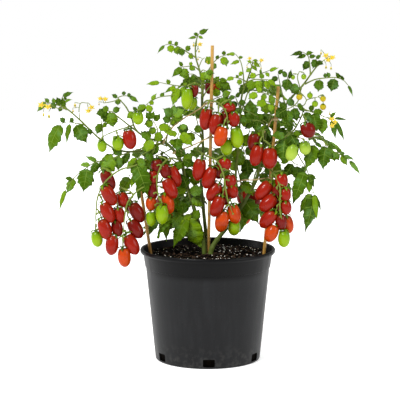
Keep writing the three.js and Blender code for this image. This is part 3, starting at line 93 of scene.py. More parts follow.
# Where the rows of dice of each kind of piece start, and how many numbers a leaf keeps for its blades
FRONT_LEAF_DICE, BACK_LEAF_DICE, PRESS_DICE = 11, 211, 401
CANE_DICE, TIE_DICE, TRUSS_DICE, SPRAY_DICE = 71, 91, 3001, 4001
TINT_DICE = 1000
FRONT_BLADE_DICE, BACK_BLADE_DICE, SMALL_BLADE_DICE = 2001, 5001, 6001
BLADES_A_LEAF = 16
STALK_HAIRS = 30000.0
BLADE_ROWS, BLADE_COLUMNS, BLADE_THICKNESS = 9, 5, 0.35

# stem: [node, radius at the foot, radius at the tip, grid points]
STEMS = [
  ["stem_left",5.6,2.6,[[205,262,0],[203,240,0],[196,215,2],[187,186,0],[179,158,-12],[164,142,-18],[148,
    139,-20]]],
  ["stem_centre",4.6,2.4,[[209,262,22],[206,235,22],[203,205,20],[201,175,18],[203,150,16],[202,120,14],
    [202,96,8]]],
  ["stem_right",5.8,2.4,[[209,262,-12],[212,248,-8],[217,240,-5],[228,226,-4],[243,204,4],[256,180,8],[262,
    155,8],[265,135,6],[272,118,2]]],
  ["shoot_far_left",2.4,1.3,[[164,142,-18],[140,151,-15],[118,150,-12],[100,139,-8],[82,122,-8],[72,113,-8],
    [64,107,-8],[58,105,-9]]],
  ["shoot_left",2.4,1.2,[[148,139,-20],[136,130,-18],[131,117,-15],[126,107,-12],[120,100,-10]]],
  ["shoot_left",1.9,1.3,[[146,138,-20],[131,127,-23],[118,117,-24],[109,112,-26]]],
  ["shoot_top",2.4,1.2,[[202,98,8],[202,88,6],[200,72,2],[196,58,0],[195.5,45,0],[197.5,36,0]]],
  ["shoot_top_right",3.2,1.2,[[243,204,5],[236,182,9],[238,150,12],[240,120,12],[242,95,6],[248,78,2],[253,
    62,0]]],
  ["shoot_right",2.6,1.3,[[271,120,2],[283,108,0],[292,97,0],[303,85,0],[311,74,0],[318,65,0],[322,61,0]]],
  ["shoot_low_right",2.6,1.4,[[263,152,8],[276,143,-4],[288,136,-12],[300,134,-17],[312,138,-19],[320,137,
    -22],[326,144,-26]]],
  ["shoot_low_right",1.8,1.3,[[288,137,-12],[296,127,-14],[302,115,-12],[304,108,-10]]],
]

# for each stem or shoot, its leaves: [number, grid points along the rib, blades]; blade: [place along
# the rib, tip column, tip row, width in squares]
LEAVES = {
  "shoot_far_left": [
  [0,[[92,131,-8],[84,125,-14],[75,123,-18],[67,122,-20],[61,124,-22]],[[0.5,86,142,14],[0.12,91,135,5],
    [0.65,66.5,142,6],[0.55,70,118,5],[0.8,60,118,5],[1,49.5,151,14]]],
  [1,[[66,109,-8],[60,106,-10],[52,103.5,-12],[46,101.5,-12]],[[1,37.5,111,6],[0.25,59,111.5,4],[0.3,57,97.5,
    6],[0.55,53,98,4],[0.1,62,98,5],[0.45,51,106,6],[0.8,45,98.5,4]]],
  [2,[[67,110,-8],[64,103,-6],[62.5,96.5,-4]],[[1,72.5,92.5,4.5],[0.55,71.5,99.5,3.5],[0.8,67,98,3]]],
  [5,[[103,141,-8],[102.5,128,-10],[101,119,-10]],[[0.8,97,134,8],[1,105,113,4],[0.6,107,124,5]]],
  [7,[[121,148,-11],[106,159,-20],[94,163,-27],[82,171,-31],[73,179,-33],[66,189,-33]],[[0.15,103,172,14],
    [0.32,91,174,8],[0.33,86,156.5,5],[0.5,83.5,191,16],[0.45,80,165,5],[0.75,67,192.5,9],[0.8,65,178,4],[1,
    59.5,209,4.5]]],
  [8,[[134,151,-15],[124,154,-30],[114,158,-38]],[[1,102,174,15],[0.7,118,170,9],[0.55,112,149,8],[0.95,103,
    158,8],[0.3,123,165,7]]]],
  "shoot_left": [
  [3,[[121,101,-10],[118,98,-8],[122,96,-6],[129,96,-4]],[[1,138,102,4.5],[0.35,112,94.5,4],[0.75,124,92.5,
    4],[0.3,118,103,7.5],[0.9,131,94.5,4]]],
  [4,[[118,117,-24],[112,112,-27],[108,111,-29]],[[1,96,114,8],[0.9,113,127,13],[0.5,119.5,108,6],[0.75,103,
    122,6],[0.9,103,107,6]]],
  [6,[[134,122,-16],[134,114,-18],[138,110,-20]],[[0.7,127,118,7],[1,146,108.5,6],[0.9,133,107,4]]]],
  "stem_left": [
  [9,[[164,142,-18],[152,149,-34],[140,156,-44],[135,161,-47]],[[1,147,194,17],[0.75,127,169,8],[0.7,143,169,
    8],[0.45,151,161,8],[0.3,141,148,7]]],
  [10,[[181,164,-10],[160,166,4],[142,171,2],[128,176,-4]],[[0.95,121,193,12],[0.6,138,200,12],[0.8,131,187,
    7],[0.4,150,186,10]]],
  [11,[[158,140,-19],[157,128,-30],[152,119,-35]],[[1,147,113.5,7],[0.8,146,124,8],[0.85,160,114,6],[0.5,171,
    128,10],[0.45,148,132,7],[1,154,111.5,5]]],
  [12,[[166,143,-18],[169,128,-25],[173,116,-28]],[[0.95,174,105,8],[1,163.5,109,9],[1,184,110,9],[0.9,182,
    118,8],[0.85,165,119,8],[0.7,174,122,8]]],
  [13,[[180,160,-12],[177,142,-28],[180,129,-34]],[[0.9,192,145,10],[1,187,125,6],[0.7,177,147,11],[0.8,165,
    132,8],[0.5,169,142,6]]],
  [14,[[167,146,-18],[158,143,-30],[151,139,-34]],[[1,143,133,10],[1,147,150,11],[0.6,160,132,9],[0.5,154,
    154,9]]],
  [50,[[194,208,1],[190,198,-6],[187,188,-8]],[[1,183,178,12],[0.9,176,190,10],[0.7,199,190,12],[0.4,182,208,
    12],[0.5,203,206,10]]],
  [51,[[199,228,1],[190,219,-8],[182,214,-12]],[[1,173,226,14],[0.9,181,203,12],[0.6,190,238,14],[0.4,199,
    210,10],[0.8,171,212,10]]],
  [52,[[185,178,-5],[184,165,-18],[182,158,-20]],[[1,180,150,10],[0.8,191,156,9],[0.7,176,167,9],[0.9,192,
    165,10]]],
  [56,[[171,149,-15],[163,153,-9],[154,156,-5]],[[1,145,169,13],[0.85,149,146,9],[0.6,163,166,13]]],
  [63,[[195,211,1],[190,214,-8],[187,217,-12]],[[1,201,247,18],[0.8,174,245,14],[0.3,180,226,8]]],
  [64,[[188,190,1],[174,196,2],[163,204,4]],[[1,148,236,12],[0.85,166,239,13],[0.5,180,222,11]]]],
  "shoot_top": [
  [15,[[195,57,0],[187,52,-4],[178,46.5,-8],[170,44,-10],[165,45,-10]],[[0.2,192,57,6],[0.3,190,46,5],[0.42,
    182,56,7],[0.55,177.5,54,7],[0.62,178,42.5,4],[0.75,171.5,52,7],[0.85,171.5,41,4],[1,158,53,3.5]]],
  [16,[[196,46,0],[197,38,0],[199,33.5,0]],[[1,208,29,5],[0.7,203,38.5,3],[0.6,188.5,38.5,3],[0.9,195,34,
    4]]],
  [17,[[199,70,2],[193,66,-6],[187,66.5,-10],[182,67,-12]],[[0.9,184,75,11],[1,172.5,76.5,6],[0.5,191,63,4],
    [0.55,195,70,5],[0.95,179,61.5,4]]],
  [18,[[200,73,2],[203,70,-4],[206,71,-7]],[[1,210,79,8],[0.8,203,82,8],[1,214,73,5]]],
  [19,[[200,80,4],[194,74.5,-3],[189,74,-6]],[[1,184.5,80.5,3.5],[0.5,192,80,5]]],
  [20,[[201,82,5],[208,71,16],[214,62,20],[220,57,20],[226,55,18]],[[0.42,208,59,8],[0.5,213.5,67.5,7],[0.6,
    218,56,4],[0.85,225.5,62.5,9],[1,233,53,3],[0.9,224,51.5,4]]],
  [22,[[202,88,6],[192,85,-4],[181,86,-10],[170,84.5,-14],[160,82.5,-16]],[[1,147,84,4.5],[0.75,167,79.5,4],
    [0.7,173,91,6],[0.55,173,105,9],[0.6,165,92.5,4],[0.4,180,97,7],[0.35,184,83.5,4]]],
  [23,[[202,93,7],[186,93,-12],[172,95.5,-16],[160,97,-19],[151,101,-20],[146,105,-20]],[[0.6,164,92.5,4],
    [0.75,151,103.5,5],[1,137,110.5,7],[0.95,151,112.5,7],[0.8,156,94,4]]]],
  "stem_centre": [
  [21,[[202,98,9],[212,84,18],[219,80,18]],[[0.95,231,90,8],[0.8,222,88,7],[0.7,219,76.5,5],[1,227,81,5]]],
  [24,[[202,106,10],[214,99,20],[222,96,22]],[[1,231,92,7],[0.9,231,108,12],[0.7,216,91,8],[0.8,221,107,8]]],
  [57,[[202,138,15],[195,133,8],[189,130,2]],[[1,177,127,10],[0.8,190,143,9],[0.5,200,127,8]]],
  [58,[[201,178,18],[195,171,14],[191,167,12]],[[1,184,155,10],[0.8,184,177,11],[0.6,199,160,10],[0.4,194,
    186,11]]]],
  "shoot_top_right": [
  [25,[[244,88,4],[243,72,4],[240,60,4],[235.5,54,2]],[[1,228,54,3.5],[0.65,231,64,4.5],[0.8,243,57,3],[0.35,
    239,76,4]]],
  [26,[[250,73,1],[252,65,0],[253,60,0]],[[1,258,61,3],[0.7,247,61,3],[0.8,260,67,4],[0.5,257,71,4],[0.3,246,
    72,4]]],
  [27,[[247,82,2],[240,78.5,-4],[234,77.5,-8]],[[1,226,80.5,4.5],[0.5,239,85,5],[0.6,236,75,3]]],
  [28,[[247,82,2],[254,79.5,-6],[262,79.5,-10],[268,79.5,-12]],[[0.3,249,90,9],[0.35,252,73.5,6],[0.6,258,88,
    9],[0.65,262,75,5],[0.9,268,90,7],[1,276,86,5]]],
  [29,[[249,78,2],[260,74,6],[269,70.5,6]],[[1,278,68,4.5],[0.5,261,69,3],[0.8,269,77,4]]],
  [32,[[241,110,11],[237,101,2],[235,96,-2]],[[1,228.5,99,5],[0.8,240,92,4],[0.5,231,108,7],[0.4,246,103,6],
    [0.2,236,115,6]]],
  [49,[[237,165,12],[241,185,16],[243,205,14]],[[1,240,232,12],[0.8,258,222,18],[0.5,228,200,10],[0.4,252,
    195,12],[0.2,246,178,10],[0.9,232,222,9]]],
  [53,[[238,155,12],[248,137,24],[251,121,26]],[[1,250,100,14],[0.9,263,115,12],[0.8,240,114,10],[0.5,262,
    138,13],[0.4,235,140,12],[0.2,236,157,12]]],
  [59,[[238.5,143,12],[243,149,24],[246,158,32]],[[1,248,178,14],[0.7,233,166,12],[0.6,255,152,10],[0.4,248,
    134,10],[0.3,230,143,9]]],
  [60,[[237,178,9],[231,172,16],[227,167,18]],[[1,222,156,10],[0.8,221,178,9],[0.6,236,162,9]]]],
  "shoot_right": [
  [30,[[284,107,0],[279,101,-24],[264,93,-26],[257,92.5,-26]],[[1,249,98,8],[0.8,258,87.5,5],[0.6,262,99,
    7]]],
  [31,[[281,110,0],[276,106,-24],[266,101,-30]],[[1,257,106,9],[0.6,269,95,7],[0.8,271,109,7]]],
  [35,[[310.5,75,0],[309.5,63,-2],[308,56,-4],[303,52,-4]],[[1,291,55.5,4.5],[0.75,297,58,4.5],[0.45,303.5,
    70,7],[0.85,313,52.5,4],[0.6,316,56,4]]],
  [36,[[318,65,0],[316,59,-4]],[[1,313,68,7],[0.7,323,64,5],[1,321,55,4]]],
  [37,[[305,84,0],[315,79.5,-4],[325,78,-6],[335,77.5,-8],[343,80,-8],[348,85,-8]],[[0.3,319,87.5,10],[0.42,
    325,74,4],[0.6,331.5,90,11],[0.5,327,72.5,4],[0.72,336,72.5,4],[0.85,340,75,3],[1,352.5,95.5,3]]],
  [38,[[295,94,0],[292,84,-8],[287,77,-12]],[[0.95,286,91,10],[0.6,298,95,9],[1,282,71,5],[0.8,291,70,4]]],
  [39,[[285,105,1],[280,84,12],[278,74,12]],[[1,283,69.5,4],[0.8,272,79,6],[0.5,275,90,6]]],
  [40,[[301,88,0],[298,101,-14],[292,107,-24],[287,109,-27]],[[1,276,116,11],[0.9,287,122.5,11],[0.6,297,121,
    9],[0.7,290,99,8],[0.4,304,112,6],[1,280,103,8]]]],
  "stem_right": [
  [33,[[269,124,4],[258,117,-12],[249,112,-24],[243,110,-28]],[[1,233,111,7],[0.6,246,105,5],[0.7,248,120,
    6]]],
  [34,[[268,127,4],[260,121,-18],[252,120,-28]],[[1,238,121,8],[0.6,256,129,9],[0.5,262,114,5],[0.85,245,129,
    7],[0.2,271,138,5]]],
  [54,[[263,152,8],[268,124,18],[270,113,18]],[[1,262,103,10],[0.9,277,106,9],[0.75,261,122,9],[0.5,257,140,
    9],[0.6,281,130,10]]],
  [55,[[260,172,8],[270,152,20],[277,140,20]],[[1,285,128,12],[0.7,262,133,12],[0.6,290,152,14],[0.3,249,166,
    12],[0.3,282,172,12]]],
  [61,[[257,178,8],[263,172,16],[268,169,18]],[[1,279,175,11],[0.8,268,159,10],[0.6,263,184,10]]],
  [62,[[258,174,8],[268,176,24],[278,179,34]],[[1,290,197,13],[0.8,289,172,12],[0.6,275,198,12],[0.35,273,
    165,9]]]],
  "shoot_low_right": [
  [41,[[303,109,-10],[309,111,-19],[313,113,-23]],[[1,317,131,13],[0.7,305,120,9],[0.9,323,112,7],[0.6,313,
    105,5]]],
  [42,[[304,110,-10],[316,112.5,-16],[325,117,-20],[334,118,-21]],[[0.6,322,134,10],[0.9,335.5,138,6],[1,347,
    120,3],[0.85,336,112.5,4],[0.95,344,140,5]]],
  [43,[[296,134,-16],[290,132,-30],[285,137,-35]],[[1,283,163,17],[0.6,298,151,13],[0.9,272,136,9],[0.5,290,
    124,8],[0.3,301,135,6]]],
  [44,[[314,138,-19],[315,144,-26]],[[1,306,168,14],[0.7,322,148,4]]],
  [45,[[324,141,-25],[326,146,-30]],[[1,323.5,169,14],[0.9,335,161,8],[0.8,319,156,6]]],
  [46,[[326,144,-26],[333,151,-29],[341,155,-29],[349,160,-29]],[[0.35,339,160,8],[0.3,329.5,141.5,4],[0.65,
    347,165,6],[0.7,354,160,4.5],[0.6,345,153,4],[1,360,174,4.5]]],
  [47,[[278,142,-5],[286,153,-12],[294,163,-16],[302,166,-18]],[[0.65,285,176,10],[1,305,172,6],[0.8,297,180,
    10],[0.5,281,163,6]]],
  [48,[[289,135,-12],[300,158,-22],[307,170,-26],[310,182,-28],[314,194,-28]],[[0.45,293,203,13],[0.55,314,
    187,6],[0.7,309,193,6],[0.6,316,179,5],[1,306,230,14],[0.95,300,212,9],[1,320.5,210,4],[1,317,219.5,6]]]],
}

# truss: [node of its green parts, node of its ripe fruit, radius of the axis, grid points of the
# axis, fruits]; fruit: [column, row, depth, lean in degrees (+ tip to the right), width, length,
# tone], width and length in squares
TRUSSES = [
  ["truss_left_outer","fruit_left_outer",1.8,[[158,141,-19],[150,156,-36],[136,165,-50],[120,170,-60],[106,
    181,-64],[98,196,-66],[96,212,-66],[96,230,-60]],[[109,195,-62,28,12.5,23,"red"],[108,180,-52,24,12.5,
    22,"dark"],[107.4,213,-60,24,12.5,22.5,"red"],[104.6,231,-60,17,12.5,22.5,"red"],[119.3,215,-50,12,11,
    17,"red"],[117.2,228,-52,12,11,17,"dark"],[113.4,247.6,-60,-6,12.5,21,"red"],[97,238.6,-52,8,11,16.5,
    "green"]]],
  ["truss_left_inner","fruit_left_inner",1.8,[[184,176,-4],[172,180,-14],[156,183,-34],[140,189,-54],[128,
    202,-66],[125,215,-70],[123,237,-68]],[[135.5,228.5,-44,32,13,21.5,"dark"],[137,211.5,-42,30,13,22.5,
    "dark"],[131.5,244,-50,28,13,23,"red"],[129,206,-34,14,10,16,"dark"],[122.5,199.5,-46,14,12,16,"red"],
    [124.3,257,-54,6,12.5,20,"orange"]]],
  ["truss_left","fruit_left",1.7,[[179.5,160,-12],[171,158,-26],[162,165,-46],[157,178,-52],[158,194,-52],
    [160,204,-50]],[[170,188,-42,27,12.5,22.5,"red"],[174,176,-34,22,12.5,23,"red"],[167.7,203,-40,14,12,
    21.5,"orange"],[165,171,-28,10,10,15,"dark"],[157,166,-30,2,12,15,"dark"],[153.3,177.5,-32,2,10,15,
    "red"],[152.3,192,-34,4,11,19,"dark"],[151,204.5,-36,2,10.5,14,"orange"],[162,214,-44,0,12,20,"green"],
    [151,218.5,-38,2,10,15,"green"]]],
  ["truss_top","fruit_top",1.7,[[202,108,10],[206,101,-8],[214,101,-18],[220,104,-34],[226,112,-44],[228,
    122,-46]],[[215.7,123.8,-34,-12,12.5,22,"red"],[206,118.7,-30,-8,12.5,22.5,"red"],[220.8,136,-38,-15,
    12.5,21,"orange"],[225.5,118,-22,-4,11,16,"dark"],[233.6,119.3,-30,4,11.5,15,"red"],[229,107.5,-26,-8,
    12.5,11,"red"],[236.8,137.2,-34,8,12.5,21.5,"green"],[226.6,146.8,-28,0,12,17,"green"]]],
  ["truss_centre","fruit_centre",1.8,[[202,142,15],[197,149,-4],[207,156,-22],[216,160,-40],[222,170,-52],
    [224.6,181,-58],[226,191,-60],[228,201,-58],[233,214,-50]],[[209.3,177.4,-38,-22,12.5,23,"red"],[198.5,
    168.5,-34,-10,12.5,23,"red"],[213.8,191.5,-40,-32,12.5,21,"red"],[217.4,206,-42,-24,12.5,22.5,"red"],
    [222,220.8,-44,-13,13,22.5,"orange"],[225,196,-26,4,10,18,"dark"],[236,212.5,-36,14,12.5,20,"orange"],
    [232.9,191.5,-32,10,10,14,"red"],[229.7,178,-32,8,11,14,"red"],[218,171,-26,6,10,16,"dark"],[224.6,164,
    -28,2,12.5,13,"red"],[234,227,-40,0,12,17,"green"]]],
  ["truss_mid","fruit_mid",1.7,[[264.5,137,6],[267,130,-8],[263,132,-22],[264,142,-28]],[[256.5,155,-34,-14,
    12.5,22,"red"],[254,141.7,-26,-8,12.5,19,"dark"],[271.5,158,-34,-2,15,21.5,"red"]]],
  ["truss_right","fruit_right",1.8,[[261,162,8],[266,166,-12],[275,175,-34],[280,188,-50],[280,199,-54],
    [280,210,-54],[283,224,-48]],[[268.2,203,-38,-46,13,21,"red"],[263.8,190.4,-34,-38,13,22.5,"red"],
    [268.2,220,-40,-40,13,22.5,"red"],[272,235.2,-42,-26,12.5,19,"orange"],[277,192,-28,4,10.5,16,"dark"],
    [278.5,207,-28,4,10.5,17,"dark"],[281,222,-28,8,10.5,17,"dark"],[282,179.7,-34,4,12.5,16,"red"],[285.2,
    194.6,-36,4,11,14,"red"],[285.8,207.3,-38,6,11,14.5,"red"],[287.5,224,-36,12,11.5,19,"orange"],[284,
    238.6,-42,0,11.5,17.5,"green"]]],
  ["shoot_top","fruit_high_left",1.3,[[202,88,6],[196,83,-6],[191,84,-14],[187,86,-16]],[[187,98.3,-22,-3,
    11,22,"green"],[192,103.5,-10,-8,10,14,"green"],[194.6,90.6,-12,-4,7.5,13,"dark"]]],
  ["shoot_top","fruit_high_back",1.3,[[201.5,84,5],[206,79,18],[212,79,24],[214,81,25]],[[208.7,88,26,0,7.5,
    12,"dark"],[215,89,26,0,8,12,"orange"]]],
  ["shoot_left","fruit_far_left",1.4,[[133,125,-17],[128,127,-34],[118,130,-38],[108,134,-38],[102,137,
    -36]],[[129.6,139,-42,10,13,20,"red"],[118,143.5,-42,4,11,14,"green"],[102,146,-40,4,9,12,"green"]]],
  ["shoot_left","none",1.3,[[131.5,118,-16],[137,124,-30],[143,118,-36],[139,110,-38]],[[138,118,-42,4,10.5,
    13,"green"]]],
  ["shoot_low_right","fruit_far_right",1.4,[[300,118,-13],[303,115,-24],[306,119,-32]],[[308,130,-38,20,14,
    16,"dark"]]],
  ["shoot_low_right","none",1.4,[[290,135,-13],[298,137,-30],[303,139,-34]],[[292,152,-44,-20,11.5,18,
    "pale"],[305,148,-42,6,11,13,"pale"]]],
  ["shoot_right","none",1.1,[[287,103,0],[297,106,-6],[304,105,-12],[307,100,-14],[313,98,-16],[318,97,
    -16]],[[299.3,97,-16,0,6,6,"yellow"],[310,95.5,-18,0,5.5,5.5,"green"],[323,98.7,-18,0,5.5,6,"yellow"],
    [323,107,-18,0,6,6,"yellow"],[315,104,-18,0,6,6,"green"]]],
  ["shoot_right","none",1,[[300,88,0],[297.5,77,-6],[299,72,-8]],[[303.8,76.7,-10,0,5,5.5,"green"],[293,
    77.3,-8,0,4,4.5,"green"]]],
  ["truss_back_left","fruit_back_left",1.8,[[186,183,0],[180,174,50],[170,184,100],[165,200,116],[165,222,
    116]],[[172,197,122,12,12.5,22,"red"],[159,207,116,-8,12.5,22,"dark"],[172,220,120,10,12.5,22,
    "orange"]]],
  ["truss_back_right","fruit_back_right",1.8,[[256.5,180,8],[258,168,60],[254,178,104],[250,198,120],[250,
    216,120]],[[243,194,122,-10,12.5,22,"red"],[257,202,124,8,12.5,22,"dark"],[244,217,122,-8,12.5,22,
    "orange"]]],
]

# spray of flowers: [node of its green parts, node of its petals, grid points of the stalk,
# flowers, buds]; flower and bud: [column, row, depth, size]
SPRAYS = [
  ["shoot_far_left","flowers_far_left",[[66,109,-8],[57,108,-18],[48,103,-24]],[[41.5,105.5,-30,1],[47.9,
    107.4,-30,1]],[[43.5,114.5,-28,1],[49,116,-28,1.2]]],
  ["shoot_far_left","flowers_left",[[80,120,-8],[79,110,-14],[81,103,-18],[87,103,-20]],[[88.5,111.5,-24,
    0.85],[91.5,107.8,-24,0.85]],[[75,105,-18,1],[73,111,-14,0.8]]],
  ["shoot_left","flowers_left_top",[[118,100,-10],[110,102,-18],[104,103,-22]],[[100.5,99,-26,0.8],[105.4,
    99.5,-26,0.8]],[[99,104,-20,0.6]]],
  ["shoot_top","flowers_top",[[196,52,0],[198,48,-7]],[[200,44.7,-10,0.75]],[[199,51,-8,0.8],[193.6,45,-6,
    0.9]]],
  ["shoot_top","none",[[199,67,1],[202,60,-4],[204,58,-5]],[],[[198,59,-5,0.7],[207,62,-6,0.6]]],
  ["shoot_top_right","flowers_right_a",[[252,67,0],[250,62,-6]],[[249.7,58.7,-9,0.6]],[[247,67,-4,0.6]]],
  ["shoot_top_right","flowers_right_b",[[251,69,0],[256,66,-4],[260,63.5,-7]],[[261.5,60.6,-10,0.7]],[[261,
    68,-6,0.6]]],
  ["shoot_right","flowers_right",[[318,66,0],[323,61,-8],[327,58,-10]],[[326,56,-14,0.9],[328.4,60.3,-14,
    0.9],[332.5,58,-14,0.9]],[[326,67,-11,0.9],[331,68,-11,0.9],[321,53,-10,0.8]]],
  ["shoot_low_right","flowers_far_right",[[327,117.5,-20],[331,120,-28],[334,122,-30]],[[332,119.5,-35,0.9],
    [335,122.5,-35,0.85],[332,126,-35,0.85]],[[330,114,-26,0.7]]],
]

# cane: [node, grid point of the foot, grid point of the top]
CANES = [
  ["cane_centre",[207.6,300,8],[212.4,45.5,4]],
  ["cane_right",[260,300,-14],[278.4,86.3,-6]],
  ["cane_left",[158,300,-2],[138,172,-10]],
]

# tie: [node, cane, row of the loop on the cane, stem, place of the loop along the stem, radius
# of that loop, grid points between]
TIES = [
  ["tie_upper_left",0,101,0,0.84,5.8,[[196,111,-14],[183,119,-20],[171,129,-24]]],
  ["tie_left",0,136,0,0.72,6.2,[[200,142,-14],[191,146,-18],[182,149.5,-20]]],
  ["tie_right",1,177.5,7,0.17,5.8,[[252,180,-4],[244,180,0]]],
  ["tie_upper_right",1,119,2,0.9,5.6,[[270,123,-4]]],
]

# back leaves: [node, grid point on the stem, heading in degrees from +X round to the back,
# length, rise]
BACK_LEAVES = [
  ["stem_left",[181,166,-9],150,150,20],
  ["stem_left",[190,197,1],98,130,-10],
  ["stem_left",[198,222,1],165,120,-10],
  ["stem_centre",[202,168,17],75,150,20],
  ["stem_centre",[202,140,15],110,140,50],
  ["stem_centre",[202,115,13],85,130,60],
  ["stem_right",[232,220,-2],62,130,10],
  ["stem_right",[263,148,8],25,140,20],
  ["stem_right",[264,142,8],72,140,40],
  ["shoot_top_right",[240,115,11],60,130,50],
]


def at(place: GridPoint) -> Vector:
    """The point in mm where a grid column and row meet a depth.

    Args:
        place: column, row and depth.

    Returns:
        The point, in mm.
    """
    column, row, depth = place
    middle = GRID_WIDTH / 2
    ray = AHEAD * GRID_FOCUS + RIGHT * (column - middle) + UP * (middle - row)
    return SIGHT_FROM + ray * ((depth - SIGHT_FROM.y) / ray.y)


class Dice:
    """Repeatable numbers from a seed, each from 0 up to 1."""

    def __init__(self, seed: int) -> None:
        """Starts the row of numbers that belongs to the seed."""
        self.state = (seed * 2654435761) & 0xFFFFFFFF

    def roll(self) -> float:
        """The next number of the row."""
        self.state = (self.state * 1664525 + 1013904223) & 0xFFFFFFFF
        return self.state / 4294967296

    def between(self, low: float, high: float) -> float:
        """The next number, spread from low to high."""
        return low + (high - low) * self.roll()


class Path:
    """A smooth curve through points, as the solids use: a centripetal Catmull-Rom spline."""

    def __init__(self, points: Sequence[Vector]) -> None:
        """Keeps the points that the curve passes."""
        self.points = [Vector(p) for p in points]

    def point(self, share: float) -> Vector:
        """The point at a share of the way, counted by spans.

        Args:
            share: from 0 at the start to 1 at the end.

        Returns:
            The point on the curve.
        """
        p = self.points
        last = len(p) - 1
        place = last * min(max(share, 0.0), 1.0)
        i = min(int(place), last - 1)
        w = place - i
        before = p[i - 1] if i > 0 else p[0] * 2 - p[1]
        after = p[i + 2] if i + 2 <= last else p[last] * 2 - p[last - 1]
        a, b = p[i], p[i + 1]
        d1 = sqrt((b - a).length) or 1.0
        d0 = sqrt((a - before).length) or d1
        d2 = sqrt((after - b).length) or d1
        t1 = ((a - before) / d0 - (b - before) / (d0 + d1) + (b - a) / d1) * d1
        t2 = ((b - a) / d1 - (after - a) / (d1 + d2) + (after - b) / d2) * d1
        return (a + t1 * w + (-3 * a + 3 * b - 2 * t1 - t2) * w ** 2
                + (2 * a - 2 * b + t1 + t2) * w ** 3)

    def tangent(self, share: float) -> Vector:
        """The unit direction of the curve at a share of the way."""
        step = 0.0001
        return (self.point(share + step) - self.point(share - step)).normalized()

    def run(self, steps: int, start: float = 0.0, end: float = 1.0) -> list[Vector]:
        """Points along the curve from one share to another."""
        return [self.point(start + (end - start) * k / steps) for k in range(steps + 1)]


def place_in_scene(name: str, mesh: Mesh) -> Object:
    """Makes an object of a mesh and links it to the scene.

    Args:
        name: the object's name.
        mesh: its mesh.

    Returns:
        The object.
    """
    made = bpy.data.objects.new(name, mesh)
    bpy.context.scene.collection.objects.link(made)
    return made


def add_mark(mesh: Mesh, name: str, values: Sequence[float], kind: str = "FLOAT") -> None:
    """Stores a named value, or a vector, for each point of a mesh.

    Args:
        mesh: where they are stored.
        name: their name.
        values: all the numbers in a row.
        kind: FLOAT or FLOAT_VECTOR.
    """
    part = "value" if kind == "FLOAT" else "vector"
    mesh.attributes.new(name, kind, "POINT").data.foreach_set(part, values)


def make_plain(piece: Object, modifier: Modifier) -> Mesh:
    """Turns a piece and its modifier into a plain mesh.

    Args:
        piece: the object.
        modifier: what shapes it; it is removed.

    Returns:
        The new mesh.
    """
    mesh = bpy.data.meshes.new_from_object(piece.evaluated_get(bpy.context.evaluated_depsgraph_get()))
    piece.modifiers.remove(modifier)
    old, piece.data = piece.data, mesh
    bpy.data.meshes.remove(old)
    mesh.name = piece.name
    return mesh


class Sketch:
    """Collects the points and faces of one piece, in mm, and makes a mesh object of them."""

    def __init__(self) -> None:
        """Starts empty."""
        self.points: list[np.ndarray] = []
        self.faces: list[tuple[int, ...]] = []
        self.finish_of: list[int] = []
        self.marks: dict[str, list[np.ndarray]] = {}
        self.maps: list[np.ndarray] = []
        self.count = 0

    def add(self, points: np.ndarray, faces: Iterable[Sequence[int]], finish: int = 0,
            uv: np.ndarray | None = None, **marks: float | np.ndarray) -> None:
        """Adds a patch of points and faces.

        Args:
            points: one row of x, y, z for each point.
            faces: corner numbers within this patch.
            finish: the number of the material that the faces take.
            uv: one pair for each point.
            marks: named values of the points, one for all or one each.
        """
        n = len(points)
        faces = [tuple(self.count + k for k in face) for face in faces]
        self.points.append(np.asarray(points, float))
        self.faces.extend(faces)
        self.finish_of.extend([finish] * len(faces))
        self.maps.append(np.zeros((n, 2)) if uv is None else uv)
        for name in set(self.marks) | set(marks):
            values = self.marks.setdefault(name, [np.zeros(self.count)] if self.count else [])
            values.append(np.broadcast_to(np.asarray(marks.get(name, 0.0), float), (n,)))
        self.count += n

    def build(self, name: str, finishes: Sequence[Material]) -> Object:
        """Makes the object, with its place in its mesh.

        Args:
            name: the piece's name.
            finishes: its materials, by number.

        Returns:
            The new mesh object, linked to the scene.
        """
        mesh = bpy.data.meshes.new(name)
        points = np.concatenate(self.points) * MM
        mesh.from_pydata(points.tolist(), [], self.faces)
        for finish in finishes:
            mesh.materials.append(finish)
        mesh.polygons.foreach_set("material_index", self.finish_of)
        mesh.polygons.foreach_set("use_smooth", [True] * len(self.faces))
        corners = np.zeros(len(mesh.loops), int)
        mesh.loops.foreach_get("vertex_index", corners)
        mesh.uv_layers.new(name="UVMap").data.foreach_set("uv", np.concatenate(self.maps)[corners].ravel())
        for mark, values in self.marks.items():
            add_mark(mesh, mark, np.concatenate(values))
        mesh.update()
        return place_in_scene(name, mesh)


def operator(operation: str, reflected: bool = False) -> Callable[["Term", "Term | float"], "Term"]:
    """A Python operator that adds a Math node.

    Args:
        operation: the node's operation.
        reflected: whether the other value comes first.

    Returns:
        The method for the Term class.
    """
    def apply(self: "Term", other: "Term | float") -> "Term":
        """The result of the two values."""
        return self._math(operation, *((other, self) if reflected else (self, other)))

    return apply


